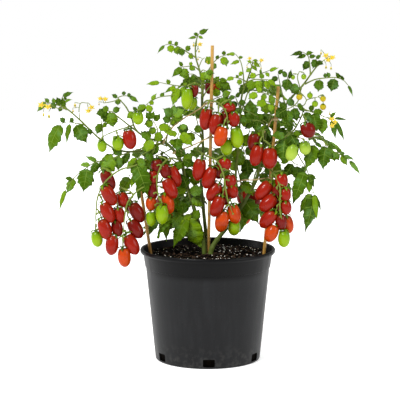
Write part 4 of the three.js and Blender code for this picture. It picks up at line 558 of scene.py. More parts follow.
class Term:
    """A socket of a node tree that can be used in sums."""

    def __init__(self, graph: "Graph", socket: NodeSocket) -> None:
        """Wraps an output socket."""
        self.graph, self.socket = graph, socket

    def _math(self, operation: str, *values: "Term | float") -> "Term":
        """A Math node over the values."""
        return self.graph.term("ShaderNodeMath", {"operation": operation}, dict(enumerate(values)))

    __add__, __radd__ = operator("ADD"), operator("ADD", True)
    __sub__, __rsub__ = operator("SUBTRACT"), operator("SUBTRACT", True)
    __mul__, __rmul__ = operator("MULTIPLY"), operator("MULTIPLY", True)
    __pow__ = operator("POWER")

    def __neg__(self) -> "Term":
        """-self."""
        return self._math("MULTIPLY", self, -1.0)

    def __abs__(self) -> "Term":
        """The value without its sign."""
        return self._math("ABSOLUTE", self)

    def fract(self) -> "Term":
        """The part after the point."""
        return self._math("FRACT", self)

    def sine(self) -> "Term":
        """The sine of an angle in radians."""
        return self._math("SINE", self)

    def larger(self, other: "Term | float") -> "Term":
        """The larger of two."""
        return self._math("MAXIMUM", self, other)

    def above(self, edge: float) -> "Term":
        """1 above the edge, else 0."""
        return self._math("GREATER_THAN", self, edge)

    def ease(self, low: float, high: float) -> "Term":
        """Rises smoothly from 0 at low to 1 at high."""
        return self.graph.term("ShaderNodeMapRange", {"interpolation_type": "SMOOTHSTEP"},
                               {0: self, 1: low, 2: high, 3: 0.0, 4: 1.0})


class Graph:
    """Lays out the nodes of one material or one geometry tree."""

    def __init__(self, tree: NodeTree) -> None:
        """Works on the given tree."""
        self.tree = tree

    def node(self, kind: str, settings: dict | None = None, values: dict | None = None) -> Node:
        """Adds a node.

        Args:
            kind: the node's type.
            settings: attributes of the node itself.
            values: what goes in each input, by name or number: a Term, a socket or a constant.

        Returns:
            The node.
        """
        node = self.tree.nodes.new(kind)
        for name, value in (settings or {}).items():
            setattr(node, name, value)
        for name, value in (values or {}).items():
            socket = node.inputs[name]
            if isinstance(value, Term):
                self.tree.links.new(value.socket, socket)
            elif isinstance(value, NodeSocket):
                self.tree.links.new(value, socket)
            else:
                socket.default_value = value
        return node

    def term(self, kind: str, settings: dict | None = None, values: dict | None = None,
             output: str | int = 0) -> Term:
        """Adds a node and wraps one of its outputs."""
        return Term(self, self.node(kind, settings, values).outputs[output])

    def mix(self, factor: "Term | float", low: "Term | tuple", high: "Term | tuple") -> Term:
        """A colour between two, by a factor."""
        return self.term("ShaderNodeMix", {"data_type": "RGBA"}, {0: factor, 6: low, 7: high}, 2)

    def vector(self, operation: str, *values: "Term | tuple") -> Term:
        """A Vector Math node over the values."""
        return self.term("ShaderNodeVectorMath", {"operation": operation}, dict(enumerate(values)))

    def split(self, vector: "Term | NodeSocket") -> list[Term]:
        """The three numbers of a vector."""
        parts = self.node("ShaderNodeSeparateXYZ", None, {0: vector})
        return [Term(self, socket) for socket in parts.outputs]


def rgb(red: float, green: float, blue: float) -> tuple[float, float, float, float]:
    """A colour in linear light with full alpha."""
    return (red, green, blue, 1.0)


class Paint(Graph):
    """The graph of one material, ending in a Principled shader."""

    def __init__(self, name: str) -> None:
        """Starts a material of that name."""
        self.material = bpy.data.materials.new(name)
        self.material.use_nodes = True
        super().__init__(self.material.node_tree)
        self.tree.nodes.clear()
        self.shader = self.node("ShaderNodeBsdfPrincipled")
        self.node("ShaderNodeOutputMaterial", None, {0: self.shader.outputs[0]})
        self.place = self.node("ShaderNodeTexCoord").outputs["Object"]

    def noise(self, scale: float, detail: float = 3.0, where: "Term | None" = None,
              roughness: float = 0.55) -> Term:
        """Noise over the object, with its scale in cells a metre."""
        return self.term("ShaderNodeTexNoise", None, {
            "Vector": where or self.place, "Scale": scale, "Detail": detail, "Roughness": roughness})

    def stretched(self, x: float, y: float, z: float) -> Term:
        """Object coordinates multiplied along each axis, for grain and streaks."""
        return self.vector("MULTIPLY", Term(self, self.place), (x, y, z))

    def mark(self, name: str) -> Term:
        """A named value of the mesh."""
        return self.term("ShaderNodeAttribute", {"attribute_name": name}, None, "Fac")

    def across_and_along(self) -> tuple[Term, Term]:
        """The two numbers of the piece's own map."""
        across, along, _ = self.split(self.term("ShaderNodeUVMap", {"uv_map": "UVMap"}))
        return across, along

    def height(self) -> Term:
        """Height over the floor, in metres."""
        return self.split(self.place)[2]

    def finish(self, colour: Term, roughness: "Term | float", relief: Term | None, depth: float = 0.0,
               **constants: float | tuple) -> Material:
        """Connects the shader.

        Args:
            colour: what goes in the base colour.
            roughness: the roughness.
            relief: the height that makes the bump.
            depth: how far the bump stands out, in metres.
            constants: other inputs, set on the shader itself, with _ for a space in the name.

        Returns:
            The material.
        """
        self.tree.links.new(colour.socket, self.shader.inputs["Base Color"])
        if isinstance(roughness, Term):
            self.tree.links.new(roughness.socket, self.shader.inputs["Roughness"])
        else:
            self.shader.inputs["Roughness"].default_value = roughness
        if relief is not None:
            bump = self.node("ShaderNodeBump", None, {"Strength": 1.0, "Distance": depth, "Height": relief})
            self.tree.links.new(bump.outputs[0], self.shader.inputs["Normal"])
        for name, value in constants.items():
            self.shader.inputs[name.replace("_", " ")].default_value = value
        return self.material


@dataclass(frozen=True)
class MouldedPlastic:
    """Charcoal pot plastic: matt, finely pebbled, dusty towards the foot, with painted shade on the collar.
    """

    colour: tuple = rgb(0.0105, 0.0108, 0.0116)
    worn: tuple = rgb(0.02, 0.0208, 0.0225)
    # painted shade: the near-black colour that the collar takes
    shaded: tuple = rgb(0.0015, 0.0015, 0.0017)
    dust: tuple = rgb(0.06, 0.058, 0.054)

    def material(self) -> Material:
        """Builds the material."""
        paint = Paint("pot_plastic")
        streaks = paint.noise(6.0, 4.0, paint.stretched(9.0, 9.0, 1.2)).ease(0.42, 0.72)
        specks = paint.noise(420.0, 2.0).ease(0.66, 0.74)
        low = (0.06 - paint.height()).ease(0.0, 0.06) * paint.noise(90.0).ease(0.45, 0.65)
        colour = paint.mix(streaks * 0.4, self.colour, self.worn)
        colour = paint.mix(specks * 0.25 + low * 0.35, colour, self.dust)
        grain = paint.noise(1500.0, 2.0)
        # painted shade: from just under the collar upwards the colour goes almost to black, standing in for
        # the shade that the foliage casts on it
        collar = (paint.height() - (COLLAR_BOTTOM - 14) * MM).ease(0.0, 0.014)
        colour = paint.mix(collar * 0.9, colour, self.shaded)
        return paint.finish(colour, 0.33 + streaks * 0.1 + grain * 0.08, grain + streaks * 2.0, 0.00006,
                            Specular_IOR_Level=0.12)


@dataclass(frozen=True)
class PottingMix:
    """Dark, damp peat and bark, with a crumbly surface."""

    peat: tuple = rgb(0.0009, 0.0006, 0.0004)
    crumb: tuple = rgb(0.004, 0.0027, 0.0015)
    fibre: tuple = rgb(0.016, 0.009, 0.005)

    def material(self) -> Material:
        """Builds the material."""
        paint = Paint("potting_mix")
        crumbs = paint.noise(260.0, 5.0, roughness=0.7)
        fibres = paint.noise(300.0, 2.0, paint.stretched(1.0, 3.5, 2.0)).ease(0.6, 0.68)
        colour = paint.mix(crumbs.ease(0.38, 0.66), self.peat, self.crumb)
        colour = paint.mix(fibres * 0.5, colour, self.fibre)
        return paint.finish(colour, 0.82 + crumbs * 0.15, crumbs + fibres * 0.4, 0.002,
                            Specular_IOR_Level=0.03)


@dataclass(frozen=True)
class SoilBits:
    """Perlite or bark on top of the mix; each bit has its own shade."""

    name: str
    dark: tuple
    pale: tuple

    def material(self) -> Material:
        """Builds the material."""
        paint = Paint(self.name)
        pores = paint.noise(900.0, 3.0)
        colour = paint.mix(paint.mark("shade") * 0.6 + pores.ease(0.35, 0.7) * 0.4, self.dark, self.pale)
        return paint.finish(colour, 0.85 + pores * 0.1, pores, 0.0006, Specular_IOR_Level=0.15)


@dataclass(frozen=True)
class LeafSkin:
    """Leaf blades: green with paler veins, a painted blue sheen (a painted reflection of the sky) on top and
    a grey-green underside.
    """

    deep: tuple = rgb(0.022, 0.055, 0.0)
    green: tuple = rgb(0.095, 0.21, 0.001)
    fresh: tuple = rgb(0.26, 0.42, 0.006)
    # painted reflection: the pale blue-green sheen of the sky on the blades
    bloom: tuple = rgb(0.15, 0.31, 0.12)
    vein: tuple = rgb(0.22, 0.34, 0.045)
    under: tuple = rgb(0.13, 0.24, 0.02)

    def material(self) -> Material:
        """Builds the material."""
        paint = Paint("leaf_blade")
        across, along = paint.across_and_along()
        out = abs(across * 2.0 - 1.0)
        midrib = 1.0 - out.ease(0.01, 0.07)
        off_vein = abs((along - 0.2).fract() - 0.5)
        side_vein = (1.0 - off_vein.ease(0.0, 0.075)) * (1.0 - out.ease(0.75, 1.0))
        veins = midrib.larger(side_vein * 0.7)
        small = paint.term("ShaderNodeTexVoronoi", {"feature": "DISTANCE_TO_EDGE"},
                           {"Vector": paint.place, "Scale": 420.0}, "Distance").ease(0.0, 0.12)
        patch = paint.noise(45.0, 3.0)
        tint = paint.mark("tint")
        colour = paint.mix((patch - 0.5) * 1.1 + tint, self.deep, self.green)
        colour = paint.mix(tint.ease(0.35, 0.95) * 0.75, colour, self.fresh)
        # painted sheen: patches between the small veins are mixed towards the painted reflection colour
        colour = paint.mix(patch.ease(0.45, 0.7) * 0.42 * small, colour, self.bloom)
        colour = paint.mix(veins * 0.62, colour, self.vein)
        colour = paint.mix(out.ease(0.85, 1.0) * 0.22, colour, self.fresh)
        colour = paint.mix(paint.mark("under").ease(0.5, 0.9) * 0.7, colour, self.under)
        relief = small * 0.35 - veins * 1.2 + paint.noise(1300.0, 2.0) * 0.3
        return paint.finish(colour, 0.38 + patch * 0.16, relief, 0.0006, Specular_IOR_Level=0.06)


@dataclass(frozen=True)
class StemSkin:
    """Stems, ribs and stalks: yellow-green, darker where they are old; the dark tone of the thick main stems
    is also painted shade from the leaves around them.
    """

    # painted shade in part: this dark tone goes on the thick main stems, for their age and for the shade they
    # stand in
    old: tuple = rgb(0.04, 0.065, 0.008)
    young: tuple = rgb(0.17, 0.24, 0.03)
    yellow: tuple = rgb(0.32, 0.31, 0.08)
    hair: tuple = rgb(0.42, 0.44, 0.22)

    def material(self) -> Material:
        """Builds the material."""
        paint = Paint("stem_skin")
        ridges = paint.noise(500.0, 3.0, paint.stretched(1.0, 1.0, 0.15))
        mottle = paint.noise(70.0, 3.0)
        # painted shade in part: a low youth value darkens the main stems, for their age and for the shade
        # inside the plant
        colour = paint.mix(paint.mark("youth") + (mottle - 0.5) * 0.5, self.old, self.young)
        colour = paint.mix((ridges - 0.35) * paint.mark("youth") * 0.9, colour, self.yellow)
        colour = paint.mix(paint.mark("hair"), colour, self.hair)
        return paint.finish(colour, 0.5 + mottle * 0.15, ridges, 0.0004, Specular_IOR_Level=0.2)


@dataclass(frozen=True)
class FruitSkin:
    """Glossy fruit skin. The mark 'tone' runs from red (0) to lime green (1)."""

    tones: tuple = ((0.0, rgb(0.27, 0.0085, 0.0015)), (0.2, rgb(0.14, 0.003, 0.001)),
                    (0.4, rgb(0.47, 0.045, 0.002)), (0.6, rgb(0.5, 0.37, 0.008)),
                    (0.8, rgb(0.34, 0.47, 0.05)), (1.0, rgb(0.23, 0.36, 0.003)))
    shoulder: tuple = rgb(0.22, 0.05, 0.006)
    green_shoulder: tuple = rgb(0.1, 0.23, 0.003)

    def material(self) -> Material:
        """Builds the material."""
        paint = Paint("fruit_skin")
        ramp = paint.node("ShaderNodeValToRGB", None, {0: paint.mark("tone")})
        stops = ramp.color_ramp.elements
        for number, (place, colour) in enumerate(self.tones):
            stop = stops[number] if number < 2 else stops.new(place)
            stop.position, stop.color = place, colour
        flesh = Term(paint, ramp.outputs[0])
        share = paint.mark("share")
        patch = paint.noise(60.0, 3.0)
        unripe = paint.mark("tone").ease(0.5, 0.7)
        top = (1.0 - share.ease(0.0, 0.3)) * (0.5 + patch * 0.7)
        flushed = paint.mix(patch.ease(0.4, 0.75) * 0.35, flesh, self.tones[1][1])
        colour = paint.mix(unripe, flushed, flesh)
        colour = paint.mix(top * 0.45 * (1.0 - unripe), colour, self.shoulder)
        low = (1.0 - share.ease(0.1, 0.75)) * (0.6 + patch * 0.5)
        colour = paint.mix(low * 0.75 * unripe, colour, self.green_shoulder)
        specks = paint.noise(1500.0, 1.0).ease(0.7, 0.76)
        colour = paint.mix(specks * 0.2, colour, rgb(0.75, 0.45, 0.2))
        relief = paint.noise(260.0, 2.0) + paint.noise(70.0, 2.0) * 2.0
        return paint.finish(colour, 0.3 + patch * 0.12, relief, 0.00016, Specular_IOR_Level=0.07,
                            Coat_Weight=0.22, Coat_Roughness=0.1)


@dataclass(frozen=True)
class PetalSkin:
    """Flower parts: yellow, deeper towards the base, finely lined along the petal."""

    name: str
    pale: tuple
    deep: tuple

    def material(self) -> Material:
        """Builds the material."""
        paint = Paint(self.name)
        across, along = paint.across_and_along()
        lines = (across * 40.0).sine() * 0.5 + 0.5
        colour = paint.mix(along.ease(0.0, 0.7) * 0.8 + lines * 0.12, self.deep, self.pale)
        return paint.finish(colour, 0.5 + lines * 0.1, lines, 0.0001, Sheen_Weight=0.15)


@dataclass(frozen=True)
class Bamboo:
    """Split-free garden cane: straw-brown with a long grain and darker joints."""

    pale: tuple = rgb(0.5, 0.28, 0.05)
    brown: tuple = rgb(0.3, 0.145, 0.02)
    joint: tuple = rgb(0.16, 0.08, 0.035)

    def material(self) -> Material:
        """Builds the material."""
        paint = Paint("bamboo")
        grain = paint.noise(260.0, 4.0, paint.stretched(1.0, 1.0, 0.035))
        blotch = paint.noise(30.0, 3.0, paint.stretched(1.0, 1.0, 0.4))
        colour = paint.mix(grain.ease(0.3, 0.7) * 0.5 + blotch.ease(0.4, 0.7) * 0.5, self.pale, self.brown)
        colour = paint.mix(paint.mark("joint") * 0.85, colour, self.joint)
        return paint.finish(colour, 0.36 + grain * 0.25, grain, 0.0004, Coat_Weight=0.15, Coat_Roughness=0.3)


@dataclass(frozen=True)
class Straw:
    """Dry raffia: pale straw with long fibres."""

    pale: tuple = rgb(0.72, 0.56, 0.25)
    dry: tuple = rgb(0.45, 0.31, 0.14)

    def material(self) -> Material:
        """Builds the material."""
        paint = Paint("raffia")
        lines = (paint.mark("round") * 60.0 + paint.mark("along") * 200.0).sine() * 0.5 + 0.5
        worn = paint.noise(180.0, 3.0)
        colour = paint.mix(lines * 0.4 + worn.ease(0.35, 0.7) * 0.5, self.pale, self.dry)
        return paint.finish(colour, 0.75 + worn * 0.15, lines + worn, 0.0003)


@dataclass(frozen=True)
class StudioPaper:
    """The pale floor under the pot."""

    colour: tuple = rgb(0.92, 0.92, 0.92)

    def material(self) -> Material:
        """Builds the material."""
        paint = Paint("studio_floor")
        colour = paint.mix(paint.noise(2.0) * 0.05, self.colour, rgb(0.9, 0.9, 0.9))
        return paint.finish(colour, 0.9, paint.noise(300.0), 0.0001, Emission_Color=rgb(1.0, 1.0, 1.0),
                            Emission_Strength=0.4)


class Finishes:
    """The materials of the whole plant, made once."""

    def __init__(self) -> None:
        """Builds each material."""
        self.pot = MouldedPlastic().material()
        self.soil = PottingMix().material()
        self.perlite = SoilBits("perlite", rgb(0.5, 0.48, 0.43), rgb(0.9, 0.88, 0.82)).material()
        self.bark = SoilBits("bark_bits", rgb(0.012, 0.007, 0.004), rgb(0.08, 0.045, 0.025)).material()
        self.leaf = LeafSkin().material()
        self.stem = StemSkin().material()
        self.fruit = FruitSkin().material()
        self.petal = PetalSkin("petal", rgb(0.92, 0.7, 0.03), rgb(0.75, 0.5, 0.01)).material()
        self.anther = PetalSkin("anther_cone", rgb(0.8, 0.42, 0.01), rgb(0.7, 0.5, 0.03)).material()
        self.cane = Bamboo().material()
        self.raffia = Straw().material()
        self.floor = StudioPaper().material()


class Maker(Graph):
    """A geometry tree that turns a guide object into a finished piece."""

    def __init__(self, name: str, inputs: dict[str, tuple[str, object]]) -> None:
        """Starts a tree.

        Args:
            name: the tree's name.
            inputs: for each named input, its socket type and its value unless another is given.
        """
        super().__init__(bpy.data.node_groups.new(name, "GeometryNodeTree"))
        sockets = self.tree.interface
        sockets.new_socket("Geometry", in_out="INPUT", socket_type="NodeSocketGeometry")
        for label, (kind, value) in {**inputs, "Finish": ("NodeSocketMaterial", None)}.items():
            socket = sockets.new_socket(label, in_out="INPUT", socket_type=kind)
            if value is not None:
                socket.default_value = value
        sockets.new_socket("Geometry", in_out="OUTPUT", socket_type="NodeSocketGeometry")
        self.start = self.node("NodeGroupInput")

    def given(self, label: str) -> Term:
        """One of the tree's inputs."""
        return Term(self, self.start.outputs[label])

    def mark(self, name: str, kind: str = "FLOAT") -> Term:
        """A named value of the points."""
        return self.term("GeometryNodeInputNamedAttribute", {"data_type": kind}, {"Name": name})

    def keep(self, geometry: Term, name: str, value: "Term | float", domain: str = "POINT") -> Term:
        """Stores a value on the geometry under a name."""
        return self.term("GeometryNodeStoreNamedAttribute", {"data_type": "FLOAT", "domain": domain},
                         {"Geometry": geometry, "Name": name, "Value": value})

    def join(self, *parts: Term) -> Term:
        """Several geometries as one."""
        node = self.node("GeometryNodeJoinGeometry")
        for part in parts:
            self.tree.links.new(part.socket, node.inputs[0])
        return Term(self, node.outputs[0])

    def close(self, geometry: Term) -> None:
        """Ends the tree: real geometry, smooth, in its finish."""
        real = self.term("GeometryNodeRealizeInstances", None, {0: geometry})
        smooth = self.term("GeometryNodeSetShadeSmooth", None, {0: real})
        ended = self.term("GeometryNodeSetMaterial", None,
                          {"Geometry": smooth, "Material": self.given("Finish")})
        self.node("NodeGroupOutput", None, {0: ended})

    def make(self, guide: Object, **values: object) -> Object:
        """Runs the tree on a guide and leaves a plain mesh.

        Args:
            guide: the object that carries the guide mesh; it becomes the piece.
            values: the inputs by label, with _ for a space.

        Returns:
            The guide, now the finished piece.
        """
        modifier = guide.modifiers.new(self.tree.name, "NODES")
        modifier.node_group = self.tree
        for item in self.tree.interface.items_tree:
            if item.in_out == "INPUT" and item.name.replace(" ", "_") in values:
                modifier[item.identifier] = values[item.name.replace(" ", "_")]
        make_plain(guide, modifier)
        return guide


class StalkMaker(Maker):
    """Round stalks along polylines. Reads 'girth', a radius in metres, on each point."""

    def __init__(self) -> None:
        """Lays out the tree."""
        super().__init__("stalks", {"Sides": ("NodeSocketInt", 10), "Hairs": ("NodeSocketFloat", 0.0),
                                    "Hair length": ("NodeSocketFloat", 0.0011),
                                    "Seed": ("NodeSocketInt", 7)})
        curve = self.term("GeometryNodeMeshToCurve", None, {0: self.given("Geometry")})
        curve = self.keep(curve, "along", self.term("GeometryNodeSplineParameter", None, None, "Length"))
        ring = self.term("GeometryNodeCurvePrimitiveCircle", None,
                         {"Resolution": self.given("Sides"), "Radius": 1.0})
        ring = self.keep(ring, "round", self.term("GeometryNodeSplineParameter", None, None, "Factor"))
        skin = self.term("GeometryNodeCurveToMesh", None, {
            "Curve": curve, "Profile Curve": ring, "Scale": self.mark("girth"), "Fill Caps": True})
        spots = self.node("GeometryNodeDistributePointsOnFaces", None, {
            "Mesh": skin, "Density": self.given("Hairs"), "Seed": self.given("Seed")})
        hair = self.term("GeometryNodeMeshCone", None, {
            "Vertices": 3, "Radius Bottom": 0.00007, "Depth": self.given("Hair length")})
        size = self.term("FunctionNodeRandomValue", {"data_type": "FLOAT"},
                         {2: 0.4, 3: 1.0, "Seed": self.given("Seed")}, 1)
        hairs = self.term("GeometryNodeInstanceOnPoints", None, {
            "Points": spots.outputs["Points"], "Instance": self.keep(hair, "hair", 1.0),
            "Rotation": spots.outputs["Rotation"], "Scale": size})
        self.close(self.join(skin, hairs))


class FruitMaker(Maker):
    """Plum-shaped fruits on points. Each point gives 'turn', 'size', 'tone' and 'seed'."""

    def __init__(self) -> None:
        """Lays out the tree."""
        super().__init__("fruits", {"Segments": ("NodeSocketInt", 28), "Rings": ("NodeSocketInt", 20),
                                    "Unevenness": ("NodeSocketFloat", 0.0007)})
        ball = self.term("GeometryNodeMeshUVSphere", None, {
            "Segments": self.given("Segments"), "Rings": self.given("Rings"), "Radius": 1.0})
        x, y, z = self.split(self.term("GeometryNodeInputPosition"))
        reach = (x * x + y * y + 1e-6) ** 0.5
        blunt = reach ** -0.15 * ((reach ** -0.15 - 1.0) * z.above(0.0) + 1.0)
        dimple = (2.8 * DIMPLE) * self._fall(reach, 0.4) * z.above(0.0)
        point = 0.04 * self._fall(reach, 0.24) * (-z).above(0.0)
        shaped = self.term("ShaderNodeCombineXYZ", None, {
            0: x * blunt, 1: y * blunt, 2: z - dimple - point})
        ball = self.keep(ball, "share", (1.0 - z) * 0.5)
        ball = self.term("GeometryNodeSetPosition", None, {"Geometry": ball, "Position": shaped})
        fruits = self.term("GeometryNodeInstanceOnPoints", None, {
            "Points": self.given("Geometry"), "Instance": ball,
            "Rotation": self.mark("turn", "FLOAT_VECTOR"), "Scale": self.mark("size", "FLOAT_VECTOR")})
        real = self.term("GeometryNodeRealizeInstances", None, {0: fruits})
        bumps = self.term("ShaderNodeTexNoise", {"noise_dimensions": "4D"}, {
            "Vector": self.term("GeometryNodeInputPosition"), "W": self.mark("seed"),
            "Scale": 38.0, "Detail": 1.0}, "Color")
        offset = self.vector("SCALE", self.vector("SUBTRACT", bumps, (0.5, 0.5, 0.5)))
        self.tree.links.new(self.given("Unevenness").socket, offset.socket.node.inputs["Scale"])
        self.close(self.term("GeometryNodeSetPosition", None, {"Geometry": real, "Offset": offset}))

    def _fall(self, reach: Term, width: float) -> Term:
        """1 on the axis, falling away smoothly over a width."""
        return 1.0 - reach.ease(0.0, width * 1.6)


class BitsMaker(Maker):
    """Loose bits scattered over a surface."""

    def __init__(self) -> None:
        """Lays out the tree."""
        super().__init__("bits", {
            "Density": ("NodeSocketFloat", 4000.0), "Smallest": ("NodeSocketVector", (0.001,) * 3),
            "Largest": ("NodeSocketVector", (0.003,) * 3), "Seed": ("NodeSocketInt", 3)})
        seed = self.given("Seed")
        spots = self.node("GeometryNodeDistributePointsOnFaces", None, {
            "Mesh": self.given("Geometry"), "Density": self.given("Density"), "Seed": seed})
        bit = self.term("GeometryNodeMeshIcoSphere", None, {"Radius": 1.0, "Subdivisions": 2})
        turn = self.term("FunctionNodeRandomValue", {"data_type": "FLOAT_VECTOR"},
                         {0: (-0.5, -0.5, 0.0), 1: (0.5, 0.5, 6.3), "Seed": seed})
        size = self.term("FunctionNodeRandomValue", {"data_type": "FLOAT_VECTOR"}, {
            0: self.given("Smallest"), 1: self.given("Largest"), "Seed": seed + 1})
        bits = self.term("GeometryNodeInstanceOnPoints", None, {
            "Points": spots.outputs["Points"], "Instance": bit, "Rotation": turn, "Scale": size})
        shade = self.term("FunctionNodeRandomValue", {"data_type": "FLOAT"},
                          {2: 0.0, 3: 1.0, "Seed": seed + 2}, 1)
        bits = self.keep(bits, "shade", shade, "INSTANCE")
        real = self.term("GeometryNodeRealizeInstances", None, {0: bits})
        rough = self.term("ShaderNodeTexNoise", None, {
            "Vector": self.term("GeometryNodeInputPosition"), "Scale": 600.0, "Detail": 1.0}, "Color")
        offset = self.vector("MULTIPLY", self.vector("SUBTRACT", rough, (0.5, 0.5, 0.5)), (0.0018,) * 3)
        self.close(self.term("GeometryNodeSetPosition", None, {"Geometry": real, "Offset": offset}))


class Makers:
    """The geometry trees of the whole plant, made once."""

    def __init__(self) -> None:
        """Builds each tree."""
        self.stalks = StalkMaker()
        self.fruits = FruitMaker()
        self.bits = BitsMaker()


def grid_faces(rows: int, columns: int, numbers: np.ndarray, flip: bool) -> list[tuple[int, ...]]:
    """Four-cornered faces over a grid of point numbers.

    Args:
        rows: how many rows the grid has.
        columns: how many columns.
        numbers: the grid.
        flip: whether the faces look the other way.

    Returns:
        The corners of each face.
    """
    faces = []
    for i in range(rows - 1):
        for j in range(columns - 1):
            face = (numbers[i, j], numbers[i, j + 1], numbers[i + 1, j + 1], numbers[i + 1, j])
            faces.append(tuple(int(k) for k in (face[::-1] if flip else face)))
    return faces


def band_faces(rings: Sequence[Sequence[int]]) -> list[tuple[int, ...]]:
    """Four-cornered faces between closed rings of point numbers, from the inner ring outwards.

    Args:
        rings: the numbers of each ring.

    Returns:
        The corners of each face.
    """
    faces = []
    for inner, outer in zip(rings, rings[1:]):
        for j, (a, b) in enumerate(zip(inner, outer)):
            n = (j + 1) % len(inner)
            faces.append((a, b, outer[n], inner[n]))
    return faces


def thin_patch(sketch: Sketch, middle: np.ndarray, normal: np.ndarray, thickness: float, finish: int = 0,
               uv: np.ndarray | None = None, **marks: float) -> None:
    """Adds a closed thin blade: two skins that meet along the rim.

    Args:
        sketch: what the blade is added to.
        middle: rows by columns of points between the two skins, in mm.
        normal: for each point, the direction of the upper skin.
        thickness: in mm, at the blade's middle.
        finish: the number of the material.
        uv: a pair for each point.
        marks: named values of all the blade's points.
    """
    rows, columns = middle.shape[:2]
    inner = np.zeros((rows, columns), bool)
    inner[1:-1, 1:-1] = True
    half = normal * (thickness / 2) * inner[..., None]
    upper = np.arange(rows * columns).reshape(rows, columns)
    lower = upper.copy()
    lower[inner] = rows * columns + np.arange(int(inner.sum()))
    points = np.concatenate([(middle + half).reshape(-1, 3), (middle - half)[inner]])
    under = np.concatenate([np.where(inner, 0.0, 0.5).ravel(), np.ones(int(inner.sum()))])
    uv = np.zeros((rows, columns, 2)) if uv is None else uv
    maps = np.concatenate([uv.reshape(-1, 2), uv[inner]])
    faces = grid_faces(rows, columns, upper, False) + grid_faces(rows, columns, lower, True)
    sketch.add(points, faces, finish, maps, under=under, **marks)


def lathe_patch(sketch: Sketch, base: Vector, axis: Vector, profile: Sequence[tuple[float, float]],
                sides: int, finish: int = 0, **marks: float) -> None:
    """Adds a turned form.

    Args:
        sketch: what it is added to.
        base: where the profile's height is 0, in mm.
        axis: the direction of the height.
        profile: radius and height of each ring; it starts and ends on the axis.
        sides: how many points a ring has.
        finish: the number of the material.
        marks: named values of all the points.
    """
    u = axis.orthogonal().normalized()
    v = axis.cross(u)
    points, rings = [], []
    for radius, height in profile:
        if radius <= 0:
            rings.append([len(points)] * sides)
            points.append(base + axis * height)
            continue
        rings.append(list(range(len(points), len(points) + sides)))
        for k in range(sides):
            turn = tau * k / sides
            points.append(base + axis * height + (u * cos(turn) + v * sin(turn)) * radius)
    faces = []
    for low, high in zip(rings, rings[1:]):
        for k in range(sides):
            n = (k + 1) % sides
            face = (low[k], low[n], high[n], high[k])
            faces.append(tuple(dict.fromkeys(face)))
    sketch.add(np.array([tuple(p) for p in points]), faces, finish, **marks)


class Guide:
    """Polylines that a StalkMaker turns into stalks."""

    def __init__(self) -> None:
        """Starts empty."""
        self.points: list[Vector] = []
        self.edges: list[tuple[int, int]] = []
        self.girths: list[float] = []
        self.marks: dict[str, list[float]] = {"youth": [], "joint": []}

    def line(self, points: Sequence[Vector], girths: Sequence[float], youth: float = 0.5,
             joints: Sequence[float] | None = None) -> None:
        """Adds one polyline.

        Args:
            points: its points, in mm.
            girths: the radius at each point, in mm.
            youth: 0 for old dark skin, which on the main stems is also painted shade, 1 for young pale skin.
            joints: for a cane, how much of a joint each point is.
        """
        first = len(self.points)
        self.points.extend(points)
        self.edges.extend((first + k, first + k + 1) for k in range(len(points) - 1))
        self.girths.extend(girths)
        self.marks["youth"].extend([youth] * len(points))
        self.marks["joint"].extend(joints or [0.0] * len(points))

    def build(self, name: str) -> Object:
        """Makes the guide object, in metres."""
        mesh = bpy.data.meshes.new(name)
        mesh.from_pydata([tuple(p * MM) for p in self.points], self.edges, [])
        add_mark(mesh, "girth", np.array(self.girths) * MM)
        for mark, values in self.marks.items():
            add_mark(mesh, mark, values)
        return place_in_scene(name, mesh)


def settle(piece: Object, slot: str, *nodes: str) -> Object:
    """Tells the frame what a finished piece is.

    Args:
        piece: the finished piece.
        slot: not used.
        nodes: the solids that it stands for.

    Returns:
        The piece.
    """
    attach(piece, BODY)
    if nodes:
        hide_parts(*nodes)
    log.info("%s: %d faces, for %s", piece.name, len(piece.data.polygons), ", ".join(nodes) or "no solid")
    return piece


@dataclass
class Assembly:
    """A sub-assembly, with the trees and finishes that it is made with."""

    makers: Makers
    finishes: Finishes

    def settle_stalks(self, guide: Guide, name: str, slot: str, node: str, **values: object) -> None:
        """Makes stalks of a guide and settles them.

        Args:
            guide: their polylines.
            name: the piece's name.
            slot: the material slot.
            node: the solid that they stand for.
            values: the inputs of the tree.
        """
        settle(self.makers.stalks.make(guide.build(name), **values), slot, node)


class Tone(Enum):
    """How ripe a fruit is, with its place on the skin's colour ramp."""

    RED = "red"
    DARK = "dark"
    ORANGE = "orange"
    YELLOW = "yellow"
    PALE = "pale"
    GREEN = "green"

    @property
    def place(self) -> float:
        """Where the tone lies on the ramp."""
        return list(Tone).index(self) * 0.2

    @property
    def ripe(self) -> bool:
        """Whether the fruit counts among the ripe ones of its truss."""
        return self in (Tone.RED, Tone.DARK, Tone.ORANGE)


@dataclass
class Fruit:
    """One plum tomato on its truss."""

    column: float
    row: float
    depth: float
    lean: float
    wide: float
    long: float
    tone: Tone
    forward: float
    centre: Vector = field(init=False)

    def __post_init__(self) -> None:
        """Hangs the fruit at its place."""
        angle = radians(self.lean)
        self.axis = Vector((sin(angle), self.forward, -cos(angle))).normalized()
        self.width, self.length = self.wide * FRUIT_FULLNESS * GRID_SQUARE, self.long * GRID_SQUARE
        self.shift(0)

    def shift(self, depth: float) -> None:
        """Puts the fruit at its place on the grid, moved in depth."""
        self.centre = at((self.column, self.row, self.depth + depth))

    @property
    def top(self) -> Vector:
        """The middle of the shoulder."""
        return self.centre - self.axis * (self.length / 2)

    def core(self) -> tuple[Vector, Vector]:
        """The ends of the line in the middle of the fruit."""
        half = max(0.5, self.length / 2 - 0.6 * self.width)
        return self.centre - self.axis * half, self.centre + self.axis * half

    def gap(self, other: "Fruit") -> float:
        """How far the skins of two fruits are apart.

        Args:
            other: the second fruit.

        Returns:
            The distance in mm, below 0 where they are pressed together.
        """
        (a, b), (c, d) = self.core(), other.core()
        best = inf
        for i in range(9):
            p = a.lerp(b, i / 8)
            share = min(max((p - c).dot(d - c) / (d - c).length_squared, 0.0), 1.0)
            best = min(best, (p - c.lerp(d, share)).length)
        return best - 0.47 * (self.width + other.width)


